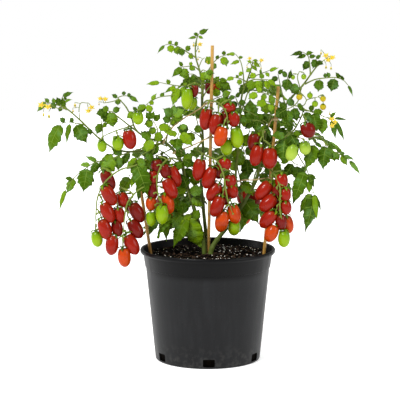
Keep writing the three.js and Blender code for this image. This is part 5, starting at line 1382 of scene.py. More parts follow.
def press_together(rows: Sequence[Sequence], seed: int) -> list[Fruit]:
    """Places the fruits of a truss so that ripe ones touch and unripe ones hang clear.

    Args:
        rows: the fruits as the layout gives them.
        seed: the truss's seed.

    Returns:
        The fruits in their places.
    """
    dice = Dice(seed)
    placed: list[Fruit] = []
    for *numbers, tone in rows:
        fruit = Fruit(*numbers, Tone(tone), (dice.roll() - 0.5) * 0.3)
        before = [other for other in placed if other.tone.ripe] if fruit.tone.ripe else list(placed)
        low, high = (PRESS_LOW, PRESS_HIGH) if fruit.tone.ripe else (-inf, -GAP)

        def press() -> float:
            """How deep the fruit is pressed into its nearest neighbour."""
            return -min(fruit.gap(other) for other in before)

        if before:
            for step in range(DEPTH_STEPS + 1):
                fruit.shift((1 if step % 2 else -1) * ceil(step / 2) * DEPTH_STEP)
                if low <= press() <= high:
                    break
            else:
                fruit.shift(0)
                if fruit.tone.ripe:
                    nearest = min(before, key=fruit.gap)
                    start, share = fruit.centre.copy(), NUDGE
                    while share < 0.9 and press() < PRESS_LOW:
                        fruit.centre = start.lerp(nearest.centre, share)
                        share += NUDGE
        placed.append(fruit)
    return placed


@dataclass
class LeafletCut:
    """How a leaflet's edge is cut, by its size."""

    lobes: float
    depth: float
    rows: int
    columns: int


@dataclass
class Leaflet:
    """One toothed leaflet between its root on the rib and its tip, in mm."""

    root: Vector
    tip: Vector
    width: float
    facing: Vector
    seed: int
    terminal: bool = False
    shared: float = 0.5
    thickness: float = 0.45
    fullness: ClassVar[float] = 0.6
    slender: ClassVar[float] = 1.35
    past_tip: ClassVar[float] = 1.08
    longest: ClassVar[float] = 1.5
    broadest: ClassVar[float] = 0.76
    least_half: ClassVar[float] = 0.12
    ripple: ClassVar[float] = 0.05
    most_twist: ClassVar[float] = 0.35
    cuts: ClassVar[tuple[tuple[float, LeafletCut], ...]] = (
        (21.0, LeafletCut(4.6, 0.19, 44, 13)), (13.0, LeafletCut(3.6, 0.17, 30, 9)),
        (8.0, LeafletCut(2.7, 0.14, 20, 7)), (0.0, LeafletCut(1.8, 0.1, 12, 5)))

    def cut(self) -> LeafletCut:
        """The cut for this leaflet's width."""
        return next(cut for least, cut in self.cuts if self.width >= least)

    def outline(self, s: np.ndarray, phase: np.ndarray, dice: Dice) -> np.ndarray:
        """Half-width at places along the blade, with lobes and teeth.

        Args:
            s: places from 0 at the base to 1 at the tip.
            phase: how many lobes lie before each place.
            dice: the leaflet's numbers.

        Returns:
            Half-widths in mm.
        """
        cut = self.cut()
        body = np.sin(pi * s ** 0.56) ** (0.6 + 0.75 * s)
        saw = phase % 1.0
        lobe = np.where(saw < 0.7, 0.5 - 0.5 * np.cos(pi * saw / 0.7), np.clip((1 - saw) / 0.3, 0, 1))
        fine = (phase * 3 + dice.roll()) % 1.0
        tooth = np.where(fine < 0.65, fine / 0.65, (1 - fine) / 0.35)
        depth = cut.depth * (1 - 0.45 * s) * (0.8 + 0.4 * dice.roll())
        return self.width * self.fullness * body * (1 - depth * (1 - lobe)) * (1 - 0.1 * (1 - tooth))

    def draw(self, sketch: Sketch, guide: Guide) -> None:
        """Adds the blade and its short stalk.

        Args:
            sketch: what the blade is added to.
            guide: what the stalk is added to.
        """
        dice = Dice(self.seed)
        cut = self.cut()
        reach = self.tip - self.root
        size = max(reach.length * self.past_tip, min(self.slender * self.width, reach.length * self.longest))
        self.width = min(self.width, size * self.broadest)
        ahead = reach.normalized()
        across = self.facing.cross(ahead).normalized()
        normal = ahead.cross(across)
        bare = size * (0.04 if self.terminal else 0.1)
        blade = size - bare
        s = np.linspace(0.0, 1.0, cut.rows) ** 0.92
        v = np.linspace(-1.0, 1.0, cut.columns)
        phase = s * cut.lobes + 0.5 * dice.roll()
        sides = [self.outline(s, phase + (0.0 if side else dice.between(-0.18, 0.18)), dice)
                 for side in (0, 1)]
        half = np.maximum(np.where(v[None, :] < 0, sides[0][:, None], sides[1][:, None]), self.least_half)
        y = half * v[None, :]
        slant = 0.5 * np.minimum(1.0, 0.25 + 2.2 * s)[:, None]
        x = bare + blade * s[:, None] + slant * np.abs(y) * (1 - s[:, None] ** 3)
        x = np.minimum(x, size * 1.02)
        t = x / size
        bulge = 0.5 - 0.5 * np.cos(tau * (phase[:, None] - 0.2))
        z = ARCH * size * np.sin(pi * np.clip(t, 0, 1)) - FOLD * np.abs(y)
        z += self.ripple * self.width * bulge * 4 * np.abs(v) * (1.12 - np.abs(v))
        z += dice.between(-0.16, 0.1) * self.width * v[None, :] ** 2
        z += self.ripple * self.width * np.sin(tau * phase[:, None] * 0.8 + dice.roll() * 6) * np.abs(v) ** 2
        z -= dice.between(0.0, 0.07) * size * t ** 3
        twist = dice.between(-self.most_twist, self.most_twist) * s[:, None]
        y, z = y * np.cos(twist) - z * np.sin(twist) * 0.2, z + y * np.sin(twist)
        frame3 = np.array([tuple(ahead), tuple(across), tuple(normal)])
        local = np.stack([x, y, z], axis=-1)
        points = local @ frame3 + np.array(tuple(self.root))
        step_s, step_v = np.gradient(points, axis=0), np.gradient(points, axis=1)
        up = np.cross(step_s, step_v)
        length = np.linalg.norm(up, axis=-1, keepdims=True)
        up = np.where(length > 1e-9, up / np.maximum(length, 1e-9), frame3[2])
        uv = np.stack(np.broadcast_arrays(v[None, :] * 0.5 + 0.5, phase[:, None] + 0 * y), axis=-1)
        tint = min(max(self.shared + dice.between(-0.22, 0.22), 0.0), 1.0)
        if up[cut.rows // 2, cut.columns // 2] @ frame3[2] < 0:
            up = -up
        thin_patch(sketch, points[:, ::-1], up[:, ::-1], self.thickness, uv=uv[:, ::-1], tint=tint)
        middle = points[:, cut.columns // 2]
        spine = [self.root] + [Vector(middle[k]) for k in range(0, cut.rows, max(1, cut.rows // 6))]
        girths = [0.62] + [0.5 * (1 - k / len(spine)) + 0.08 for k in range(len(spine) - 1)]
        scale = min(1.0, 0.5 + self.width / 40)
        guide.line([p - normal * 0.18 for p in spine], [g * scale for g in girths], 0.75)


def leaf_facing(dice: Dice) -> Vector:
    """The way that the upper side of a leaf at the front looks."""
    return Vector(((dice.roll() - 0.5) * 0.9, -1, 0.15 + dice.roll() * 0.7)).normalized()


@dataclass
class LeafyShoot(Assembly):
    """A stem or shoot with its compound leaves, front and back."""

    node: str
    hairs: float = 42000.0
    knee_at: ClassVar[float] = 0.45
    knee_lift: ClassVar[float] = 14.0
    end_drop: ClassVar[float] = 8.0
    back_steps: ClassVar[tuple[tuple[float, int], ...]] = ((0.5, 1), (0.6, -1), (1, 0))
    back_small: ClassVar[tuple[float, ...]] = (0.34, 0.42, 0.74, 0.8, 0.9, 0.93)

    def build(self) -> None:
        """Builds the shoot's stalks and blades and settles them."""
        self.guide, self.sketch = Guide(), Sketch()
        for name, foot, tip, points in STEMS:
            if name == self.node:
                self._stem(Path([at(p) for p in points]), foot, tip)
        for number, rib, blades in LEAVES.get(self.node, ()):
            self._leaf(number, Path([at(p) for p in rib]), blades)
        for number, row in enumerate(BACK_LEAVES):
            if row[0] == self.node:
                self._back_leaf(number, *row[1:])
        self.dress()

    def _stem(self, path: Path, foot: float, tip: float) -> None:
        """Adds a main stem, slightly thicker where leaves and shoots join it.

        Args:
            path: its middle line.
            foot: the radius at its foot, in mm.
            tip: the radius at its tip.
        """
        steps = 14 * (len(path.points) - 1)
        girths = []
        for k in range(steps + 1):
            share = k / steps
            knot = 0.5 + 0.5 * cos(tau * share * (len(path.points) - 1))
            girths.append((foot + (tip - foot) * share) * (0.93 + 0.16 * knot ** 6))
        # painted shade in part: the thick main stems get the darkest skin tone, for age and for the shade
        # inside the plant
        self.guide.line(path.run(steps), girths, 0.25 if foot > 4 else 0.55)

    def _rib(self, path: Path, start: float = 1.55, end: float = 0.65) -> None:
        """Adds a leaf's rib, flared where it leaves the stem.

        Args:
            path: its middle line.
            start: the radius at its start, in mm.
            end: the radius at its end.
        """
        steps = 6 * (len(path.points) - 1)
        girths = [start + (end - start) * (k / steps) ** 0.8 + 0.7 * exp(-k * 1.4)
                  for k in range(steps + 1)]
        self.guide.line(path.run(steps), girths, 0.7)

    def _blade(self, *values: object) -> None:
        """Adds one leaflet."""
        Leaflet(*values).draw(self.sketch, self.guide)

    def _leaf(self, number: int, path: Path, blades: Sequence[Sequence[float]]) -> None:
        """Adds a leaf at the front, with its leaflets where the solids have them.

        Args:
            number: the leaf's number.
            path: its rib.
            blades: its leaflets, as the layout gives them.
        """
        dice, extra = Dice(number + FRONT_LEAF_DICE), Dice(number + FRONT_LEAF_DICE + TINT_DICE)
        shared = extra.between(0.2, 0.8)
        self._rib(path)
        for order, (share, column, row, squares) in enumerate(blades):
            root = path.point(share)
            lean = (dice.roll() - 0.62) * 0.8
            rough = at((column, row, root.y))
            tip = at((column, row, root.y + lean * (rough - root).length))
            self._blade(root, tip, squares * GRID_SQUARE, leaf_facing(dice),
                        number * BLADES_A_LEAF + order + FRONT_BLADE_DICE, share == 1, shared)

    def _back_leaf(self, number: int, foot: GridPoint, heading: float, length: float, rise: float) -> None:
        """Adds a leaf behind the plant: the solids' leaflets and small ones between them.

        Args:
            number: the leaf's number.
            foot: where it leaves the stem, on the grid.
            heading: degrees from +X round to the back.
            length: the rib's length, in mm.
            rise: how far it climbs, in mm.
        """
        dice, extra = Dice(number + BACK_LEAF_DICE), Dice(number + BACK_LEAF_DICE + TINT_DICE)
        start = at(foot)
        angle = radians(heading)
        out = Vector((cos(angle), sin(angle), 0))
        knee = start + out * (length * self.knee_at)
        end = start + out * length
        knee.z, end.z = start.z + rise + self.knee_lift, start.z + rise - self.end_drop
        path = Path([start, knee, end])
        across = Vector((-out.y, out.x, 0))
        facing = Vector((out.x * 0.6, out.y * 0.6, 1)).normalized()
        shared = extra.between(0.15, 0.7)
        self._rib(path)
        for order, (share, hand) in enumerate(self.back_steps):
            size = 40 + 14 * dice.roll()
            tip = path.point(share) + across * (hand * size) + out * (size * (0.35 if hand else 1))
            tip.z -= size * (0.35 + 0.4 * dice.roll())
            self._blade(path.point(share), tip, (13 + 5 * dice.roll()) * GRID_SQUARE, facing,
                        number * BLADES_A_LEAF + order + BACK_BLADE_DICE, hand == 0, shared)
        for order, share in enumerate(self.back_small):
            hand = 1 if order % 2 else -1
            size = extra.between(22, 40) * (1.0 if share > 0.7 else 0.7)
            tip = path.point(share) + across * (hand * size) + out * (size * 0.5)
            tip.z -= size * extra.between(0.2, 0.7)
            self._blade(path.point(share), tip, size * extra.between(0.5, 0.66), facing,
                        number * BLADES_A_LEAF + order + SMALL_BLADE_DICE, False, shared)

    def dress(self) -> None:
        """Turns the sketches into pieces in their finishes."""
        self.settle_stalks(self.guide, f"{self.node}_stalks", "leafy", self.node,
                      Hairs=self.hairs, Sides=9, Finish=self.finishes.stem)
        settle(self.sketch.build(f"{self.node}_blades", [self.finishes.leaf]), "leafy", self.node)


def pedicel_root(path: Path, target: Vector, up: Vector) -> Vector:
    """Where on a stalk the pedicel of a fruit or flower starts.

    Args:
        path: the stalk.
        target: what hangs on it.
        up: how far above the target it looks.

    Returns:
        The point on the stalk.
    """
    wanted = target + up
    return min((path.point(i / 24) for i in range(25)), key=lambda p: (p - wanted).length)


def add_pedicel(guide: Guide, start: Vector, seat: Vector, thin: float, hang: Vector) -> None:
    """Adds a pedicel: up from its root, over a knuckle, and down to its seat.

    Args:
        guide: what it is added to.
        start: its root on the stalk.
        seat: where it ends.
        thin: its radius in mm.
        hang: the direction in which it arrives.
    """
    span = (seat - start).length
    knuckle = start.lerp(seat, 0.5) + Vector((0, 0, 0.2 * span))
    path = Path([start, start.lerp(knuckle, 0.5) + Vector((0, 0, 0.08 * span)), knuckle,
                 seat - hang * (0.28 * span), seat])
    girths = []
    for k in range(17):
        share = k / 16
        knot = exp(-((share - 0.52) / 0.06) ** 2)
        girths.append(thin * (0.85 + 0.75 * knot + 0.6 * max(0.0, share - 0.8) + 0.5 * exp(-k * 1.2)))
    guide.line(path.run(16), girths, 0.85)


def add_blade(sketch: Sketch, root: Vector, out: Vector, back: Vector, length: float, width: float,
              curl: float, finish: int, blunt: float = 1.0, **marks: float) -> None:
    """Adds a narrow curled blade, such as a sepal or a petal.

    Args:
        sketch: what it is added to.
        root: where it starts, in mm.
        out: the way it grows.
        back: the way its tip curls.
        length: its length.
        width: its full width.
        curl: how far it turns from root to tip, in radians.
        finish: the number of the material.
        blunt: 1 for a pointed tip, less for a rounder one.
        marks: named values of its points.
    """
    side = out.cross(back).normalized()
    s = np.linspace(0, 1, BLADE_ROWS)
    v = np.linspace(-1, 1, BLADE_COLUMNS)
    angle = curl * s
    bend = curl if abs(curl) > 0.01 else 0.01
    spine = (np.outer(np.sin(bend * s) / bend, out) + np.outer((1 - np.cos(bend * s)) / bend, back)) * length
    arc = np.sin(pi * np.clip(s * 0.86 + 0.1, 0, 1)) ** blunt
    half = width / 2 * np.maximum(arc, 0.06) * (1 - s ** 6)
    half = np.maximum(half, 0.1)
    lift = np.outer(-np.sin(angle), out) + np.outer(np.cos(angle), back)
    cup = 0.22 * width
    over, v3 = half[:, None, None], v[None, :, None]
    points = (np.array(tuple(root)) + spine[:, None, :] + over * v3 * np.array(tuple(side))
              + (cup * v3 ** 2 * (over / width * 2)) * lift[:, None, :])
    normal = np.broadcast_to(lift[:, None, :], points.shape)
    uv = np.stack(np.broadcast_arrays(v[None, :] * 0.5 + 0.5, s[:, None]), axis=-1)
    thin_patch(sketch, points, normal, BLADE_THICKNESS, finish, uv, **marks)


def spokes(axis: Vector, count: int, start: float) -> list[Vector]:
    """Directions square to an axis, evenly round it.

    Args:
        axis: a unit vector.
        count: how many.
        start: the angle of the first, in radians.

    Returns:
        The unit directions.
    """
    u = axis.orthogonal().normalized()
    v = axis.cross(u)
    return [u * cos(start + tau * k / count) + v * sin(start + tau * k / count)
            for k in range(count)]


@dataclass
class Truss(Assembly):
    """A stalk with its hanging fruits, calyxes and pedicels."""

    number: int
    up: ClassVar[Vector] = Vector((0, 0, 14))
    sepal_length: ClassVar[tuple] = (15.0, 19.5)
    sepal_width: ClassVar[tuple] = (5.0, 6.4)
    sepal_curl: ClassVar[tuple] = (-1.75, -0.9)
    sepal_rise: ClassVar[tuple] = (0.1, 0.25)
    five_sepals: ClassVar[float] = 0.6
    small_fruit: ClassVar[float] = 14.0
    thin_pedicel: ClassVar[float] = 0.95
    seed_span: ClassVar[float] = 50.0

    def build(self) -> None:
        """Builds the truss and settles its pieces."""
        self.green, self.ripe, radius, axis, rows = TRUSSES[self.number]
        self.guide, self.sketch = Guide(), Sketch()
        self.dice = Dice(self.number + TRUSS_DICE)
        path = Path([at(p) for p in axis])
        steps = 10 * (len(axis) - 1)
        girths = []
        for k in range(steps + 1):
            taper = 1.0 - 0.3 * k / steps - 0.45 * (k / steps) ** 12
            knuckles = 0.92 + 0.2 * (0.5 + 0.5 * cos(k * 1.1)) ** 4
            girths.append(radius * 1.12 * taper * knuckles)
        self.guide.line(path.run(steps), girths, 0.7)
        self.fruits = press_together(rows, self.number + PRESS_DICE)
        for fruit in self.fruits:
            self._hang(path, fruit)
        self.dress()

    def _hang(self, path: Path, fruit: Fruit) -> None:
        """Adds a fruit's pedicel and calyx.

        Args:
            path: the truss's axis.
            fruit: what hangs on it.
        """
        small = min(1.0, fruit.wide / 12)
        seat = fruit.top + fruit.axis * (DIMPLE * fruit.length * 0.7)
        start = pedicel_root(path, fruit.top, self.up * min(1.0, fruit.length / 40))
        thick = fruit.wide * GRID_SQUARE >= self.small_fruit
        thin = PEDICEL_RADIUS * 1.35 if thick else self.thin_pedicel
        add_pedicel(self.guide, start, seat, thin, fruit.axis)
        count = 5 if self.dice.roll() < self.five_sepals else 6
        rise = -fruit.axis
        for out in spokes(fruit.axis, count, self.dice.roll() * 6):
            length = self.dice.between(*self.sepal_length) * small * min(1.0, fruit.wide / 11)
            curl = self.dice.between(*self.sepal_curl)
            tilt = (out + rise * self.dice.between(*self.sepal_rise)).normalized()
            bend = (rise - tilt * rise.dot(tilt)).normalized()
            add_blade(self.sketch, fruit.top - fruit.axis * (0.02 * fruit.length), tilt, bend, length,
                      self.dice.between(*self.sepal_width) * small, curl, 0, tint=self.dice.between(0.3, 0.8))

    def _bunch(self, name: str, fruits: Sequence[Fruit]) -> Object:
        """Makes one piece of several fruits.

        Args:
            name: the piece's name.
            fruits: its fruits.

        Returns:
            The piece.
        """
        mesh = bpy.data.meshes.new(name)
        mesh.from_pydata([tuple(f.centre * MM) for f in fruits], [], [])
        turns, sizes = [], []
        for fruit in fruits:
            turns.extend((-fruit.axis).to_track_quat("Z", "Y").to_euler())
            sizes.extend((fruit.width / 2 * MM, fruit.width / 2 * MM, fruit.length / 2 * MM))
        add_mark(mesh, "turn", turns, "FLOAT_VECTOR")
        add_mark(mesh, "size", sizes, "FLOAT_VECTOR")
        add_mark(mesh, "tone", [fruit.tone.place for fruit in fruits])
        add_mark(mesh, "seed", [self.dice.roll() * self.seed_span for _ in fruits])
        return self.makers.fruits.make(place_in_scene(name, mesh), Finish=self.finishes.fruit)

    def dress(self) -> None:
        """Turns the sketches into pieces in their finishes."""
        tag = f"{self.green}_{self.number}"
        self.settle_stalks(self.guide, f"{tag}_truss_stalks", "truss", self.green,
                      Hairs=STALK_HAIRS, Sides=8, Finish=self.finishes.stem)
        settle(self.sketch.build(f"{tag}_sepals", [self.finishes.leaf]), "truss", self.green)
        unripe = [fruit for fruit in self.fruits if not fruit.tone.ripe]
        ripe = [fruit for fruit in self.fruits if fruit.tone.ripe]
        if unripe:
            settle(self._bunch(f"{tag}_unripe", unripe), "truss", self.green)
        if ripe:
            settle(self._bunch(f"{self.ripe}_skin", ripe), "fruit", self.ripe)


@dataclass
class Spray(Assembly):
    """A spray of small nodding flowers with closed buds."""

    number: int
    facing: ClassVar[Vector] = Vector((0.1, -0.75, -0.6)).normalized()
    petal: ClassVar[tuple] = (9.5, 4.4)
    sepal: ClassVar[tuple] = (6.5, 1.8)
    bud_sepal: ClassVar[tuple] = (6.6, 1.5)
    cone: ClassVar[tuple] = ((0, -0.4), (1.5, 0), (1.75, 1.6), (1.25, 4.2), (0.5, 5.8), (0, 6.5))
    closed: ClassVar[tuple] = ((0, -3), (1.1, -2.4), (1.9, -0.6), (1.5, 2.0), (0.7, 4.2), (0, 5.4))
    parts_of_five: ClassVar[int] = 5

    def build(self) -> None:
        """Builds the spray and settles its pieces."""
        green, petals, stalk, flowers, buds = SPRAYS[self.number]
        self.guide, self.sketch = Guide(), Sketch()
        self.dice = Dice(self.number + SPRAY_DICE)
        path = Path([at(p) for p in stalk])
        steps = 8 * (len(stalk) - 1)
        self.guide.line(path.run(steps), [1.05 - 0.4 * k / steps for k in range(steps + 1)], 0.8)
        for order, (column, row, depth, size) in enumerate(flowers):
            self._flower(path, at((column, row, depth)), size, f"{petals}_{order + 1}")
        for column, row, depth, size in buds:
            self._bud(path, at((column, row, depth)), size)
        tag = f"{green}_{self.number}"
        self.settle_stalks(self.guide, f"{tag}_spray_stalks", "leafy", green,
                      Hairs=STALK_HAIRS, Sides=7, Finish=self.finishes.stem)
        settle(self.sketch.build(f"{tag}_buds", [self.finishes.leaf, self.finishes.petal]), "leafy", green)

    def _flower(self, path: Path, centre: Vector, size: float, node: str) -> None:
        """Adds one open flower: its petals and anthers are a piece of their own.

        Args:
            path: the spray's stalk.
            centre: the flower's middle.
            size: 1 for a full flower.
            node: the solid that it stands for.
        """
        back = centre - self.facing * 1.2
        start = pedicel_root(path, back, Vector((0, 0, 4)))
        add_pedicel(self.guide, start, back, 0.6, self.facing)
        bloom = Sketch()
        turn = self.dice.roll() * 6
        long, wide = (side * size for side in self.petal)
        for out in spokes(self.facing, self.parts_of_five, turn):
            add_blade(bloom, centre + self.facing * 0.3, out, -self.facing, long, wide,
                      self.dice.between(0.35, 0.95), 0, 0.8)
        lathe_patch(bloom, centre, self.facing, [(r * size, h * size) for r, h in self.cone], 10, 1)
        settle(bloom.build(f"{node}_bloom", [self.finishes.petal, self.finishes.anther]), "petals", node)
        long, wide = (side * size for side in self.sepal)
        for out in spokes(self.facing, self.parts_of_five, turn + pi / self.parts_of_five):
            add_blade(self.sketch, centre - self.facing * 0.4, out, -self.facing, long, wide,
                      self.dice.between(0.5, 1.2), 0, tint=0.7)

    def _bud(self, path: Path, centre: Vector, size: float) -> None:
        """Adds one hanging bud in its sepals.

        Args:
            path: the spray's stalk.
            centre: the bud's middle.
            size: 1 for a full bud.
        """
        down = Vector((0, 0, -1))
        start = pedicel_root(path, centre, Vector((0, 0, 8)))
        add_pedicel(self.guide, start, centre - down * 2.5 * size, 0.55, down)
        lathe_patch(self.sketch, centre, down, [(r * size, h * size) for r, h in self.closed], 8, 1)
        long, wide = (side * size for side in self.bud_sepal)
        for out in spokes(down, self.parts_of_five, self.dice.roll() * 6):
            add_blade(self.sketch, centre - down * 2.6 * size, (out + down * 1.1).normalized(),
                      (down - out * 0.6).normalized(), long, wide, 0.9, 0, tint=0.6)


@dataclass
class Canes(Assembly):
    """The bamboo canes."""

    joint_every: float = 96.0
    joint_width: float = 3.2
    ridge_from_joint: float = 2.5
    ridge_width: float = 1.6
    step: float = 3.0

    def build(self) -> None:
        """Builds each cane and settles it."""
        for number, (name, foot, top) in enumerate(CANES):
            guide, dice = Guide(), Dice(number + CANE_DICE)
            low, high = at(foot), at(top)
            length = (high - low).length
            offset = dice.between(20, 70)
            steps = int(length / self.step)
            points, girths, joints = [], [], []
            for k in range(steps + 1):
                place = length * k / steps
                near = (place + offset) % self.joint_every - self.joint_every / 2
                joint = exp(-(near / self.joint_width) ** 2)
                ridge = (exp(-((near - self.ridge_from_joint) / self.ridge_width) ** 2)
                         - exp(-((near + self.ridge_from_joint) / self.ridge_width) ** 2))
                points.append(low.lerp(high, k / steps))
                girths.append(CANE_RADIUS * (0.93 + 0.07 * joint + 0.05 * ridge))
                joints.append(joint)
            guide.line(points, girths, joints=joints)
            self.settle_stalks(guide, f"{name}_bamboo", "cane", name,
                          Hairs=0.0, Sides=20, Finish=self.finishes.cane)


@dataclass
class Tie(Assembly):
    """A raffia tie: turns round the cane and the stem, strands between them and frayed ends."""

    number: int
    turns: int = 3
    turn_steps: int = 22
    pitch: float = 1.15
    strand: float = 0.85
    strands: int = 3
    strand_steps: int = 36
    strand_twists: int = 3
    apart: float = 0.75
    ends: int = 3

    def build(self) -> None:
        """Builds the tie and settles it."""
        name, cane, row, stem, place, loop, between = TIES[self.number]
        self.guide, self.dice = Guide(), Dice(self.number + TIE_DICE)
        foot, top = CANES[cane][1:]
        on_cane = at(foot).lerp(at(top), (foot[1] - row) / (foot[1] - top[1]))
        along = (at(top) - at(foot)).normalized()
        path = Path([at(p) for p in STEMS[stem][3]])
        on_stem, stem_along = path.point(place), path.tangent(place)
        cane_loop = CANE_RADIUS + RAFFIA * 1.6 + GAP
        towards = self._square_to(at(between[0]) - on_cane, along)
        away = self._square_to(at(between[-1]) - on_stem, stem_along)
        knot = on_cane + towards * cane_loop
        self._wind(on_cane, along, cane_loop * 0.88)
        self._wind(on_stem, stem_along, loop * 0.9)
        route = Path([knot, *(at(p) for p in between), on_stem + away * loop])
        self._strands(route)
        for _ in range(self.ends):
            self._end(knot, towards)
            self._end(on_stem + away * loop, away)
        self.settle_stalks(self.guide, f"{name}_raffia", "raffia", name,
                      Hairs=0.0, Sides=6, Finish=self.finishes.raffia)

    def _square_to(self, direction: Vector, axis: Vector) -> Vector:
        """The share of a direction that is square to an axis."""
        return (direction - axis * direction.dot(axis)).normalized()

    def _wind(self, centre: Vector, axis: Vector, radius: float) -> None:
        """Adds the turns round a cane or stem.

        Args:
            centre: their middle.
            axis: the direction of the cane or stem.
            radius: their radius, in mm.
        """
        u, v = spokes(axis, 4, 0.0)[:2]
        steps = self.turn_steps * self.turns
        points = []
        for k in range(steps + 1):
            turn = tau * k / self.turn_steps
            out = (u * cos(turn) + v * sin(turn)) * (radius + 0.25 * sin(turn * 1.7))
            points.append(centre + out + axis * (self.pitch * (k / steps - 0.5) * self.turns))
        self.guide.line(points, [self.strand] * len(points))

    def _strands(self, route: Path) -> None:
        """Adds the strands from one loop to the other, twisted round each other.

        Args:
            route: the way that they take.
        """
        for strand in range(self.strands):
            points = []
            for k in range(self.strand_steps + 1):
                turn = tau * (k * self.strand_twists / self.strand_steps + strand / self.strands)
                aside = Vector((cos(turn), sin(turn), sin(turn)))
                points.append(route.point(k / self.strand_steps) + aside * self.apart)
            self.guide.line(points, [self.strand * self.dice.between(0.8, 1.1)] * len(points))

    def _end(self, knot: Vector, out: Vector) -> None:
        """Adds one frayed end at a knot.

        Args:
            knot: where it starts.
            out: away from the cane or stem.
        """
        droop = Vector((0, 0, -1))
        length = self.dice.between(7, 15)
        side = Vector((self.dice.between(-0.7, 0.7), -0.6, self.dice.between(-0.2, 0.5)))
        points = [knot + (out * 0.4 + side) * (length * s) + droop * (length * 0.7 * s * s)
                  for s in (0, 0.2, 0.4, 0.6, 0.8, 1.0)]
        self.guide.line(points, [0.5, 0.5, 0.45, 0.4, 0.3, 0.16])


def wall_radius(height: float) -> float:
    """Outer radius of the pot's wall under the collar, in mm."""
    return FOOT_RADIUS + (COLLAR_BOTTOM_RADIUS - COLLAR_STEP - FOOT_RADIUS) * height / COLLAR_BOTTOM


@dataclass
class Pot:
    """The nursery pot: tapered wall, stepped collar, rolled rim and drain notches."""

    finishes: Finishes
    sides: int = 144
    rim_steps: int = 8
    notch_rounding: float = 2.0
    sharp_degrees: float = 32.0

    def profile(self) -> list[tuple[float, float]]:
        """Radius and height of each ring, from the middle of the foot round to the middle inside."""
        lip = POT_HEIGHT - LIP_DEPTH
        points = [(0, 0.6), (FOOT_RADIUS - 16, 0.6), (FOOT_RADIUS - 14.5, 0),
                  (FOOT_RADIUS - FOOT_ROUNDING, 0)]
        for k in range(1, 5):
            turn = pi / 8 * k
            points.append((wall_radius(FOOT_ROUNDING) - FOOT_ROUNDING * (1 - sin(turn)),
                           FOOT_ROUNDING * (1 - cos(turn))))
        points += [(wall_radius(h), h) for h in (30, 70, 110, 150, COLLAR_BOTTOM - 1.2)]
        points += [(wall_radius(COLLAR_BOTTOM) + 0.2, COLLAR_BOTTOM),
                   (COLLAR_BOTTOM_RADIUS - 0.3, COLLAR_BOTTOM + 0.5),
                   (COLLAR_BOTTOM_RADIUS + 0.1, COLLAR_BOTTOM + 1.6), (COLLAR_TOP_RADIUS - 0.6, lip - 2.0),
                   (COLLAR_TOP_RADIUS - 0.2, lip - 0.6), (COLLAR_TOP_RADIUS + 0.8, lip),
                   (RIM_RADIUS - 1.6, lip)]
        middle = (RIM_RADIUS - 2.6, lip + 3.6)
        for k in range(self.rim_steps + 1):
            turn = radians(-58 + 148 * k / self.rim_steps)
            points.append((middle[0] + 2.6 * cos(turn), middle[1] + 5.4 * sin(turn) if turn > 0
                           else middle[1] + 3.4 * sin(turn)))
        points += [(COLLAR_TOP_RADIUS + 1.2, POT_HEIGHT - 0.2), (COLLAR_TOP_RADIUS - 0.4, POT_HEIGHT - 1.0),
                   (COLLAR_TOP_RADIUS - WALL, lip),
                   (COLLAR_BOTTOM_RADIUS - WALL - COLLAR_STEP, COLLAR_BOTTOM),
                   (wall_radius(WALL) - WALL, WALL), (0, WALL)]
        return points

    def build(self) -> None:
        """Builds the pot and settles it."""
        sketch = Sketch()
        lathe_patch(sketch, Vector((0, 0, 0)), Vector((0, 0, 1)), self.profile(), self.sides)
        pot = sketch.build("pot_body", [self.finishes.pot])
        cutter = self._notches()
        cut = pot.modifiers.new("notches", "BOOLEAN")
        cut.operation, cut.solver, cut.object = "DIFFERENCE", "EXACT", cutter
        mesh = make_plain(pot, cut)
        bpy.data.objects.remove(cutter)
        mesh.shade_smooth()
        mesh.set_sharp_from_angle(angle=radians(self.sharp_degrees))
        settle(pot, "pot", "pot")

    def _notches(self) -> Object:
        """The blocks that cut the drain notches, with rounded corners."""
        sketch = Sketch()
        for number in range(DRAIN_COUNT):
            turn = Matrix.Rotation(radians(DRAIN_FIRST_DEG + 360 / DRAIN_COUNT * number), 3, "Z")
            ring = []
            high, wide = (DRAIN_TOP - DRAIN_BOTTOM) / 2, DRAIN_WIDTH / 2
            for cx, cz, first in ((1, 1, 0), (-1, 1, 90), (-1, -1, 180), (1, -1, 270)):
                for k in range(4):
                    angle = radians(first + 30 * k)
                    ring.append((cx * (wide - self.notch_rounding) + self.notch_rounding * cos(angle),
                                 cz * (high - self.notch_rounding) + self.notch_rounding * sin(angle)))
            count = len(ring)
            points = [turn @ Vector((FOOT_RADIUS + depth, y, (DRAIN_TOP + DRAIN_BOTTOM) / 2 + z))
                      for depth in (-10, 10) for y, z in ring]
            faces = [(k, (k + 1) % count, count + (k + 1) % count, count + k) for k in range(count)]
            faces += [tuple(reversed(range(count))), tuple(range(count, 2 * count))]
            sketch.add(np.array([tuple(p) for p in points]), faces)
        cutter = sketch.build("notch_blocks", [])
        cutter.data.update()
        return cutter


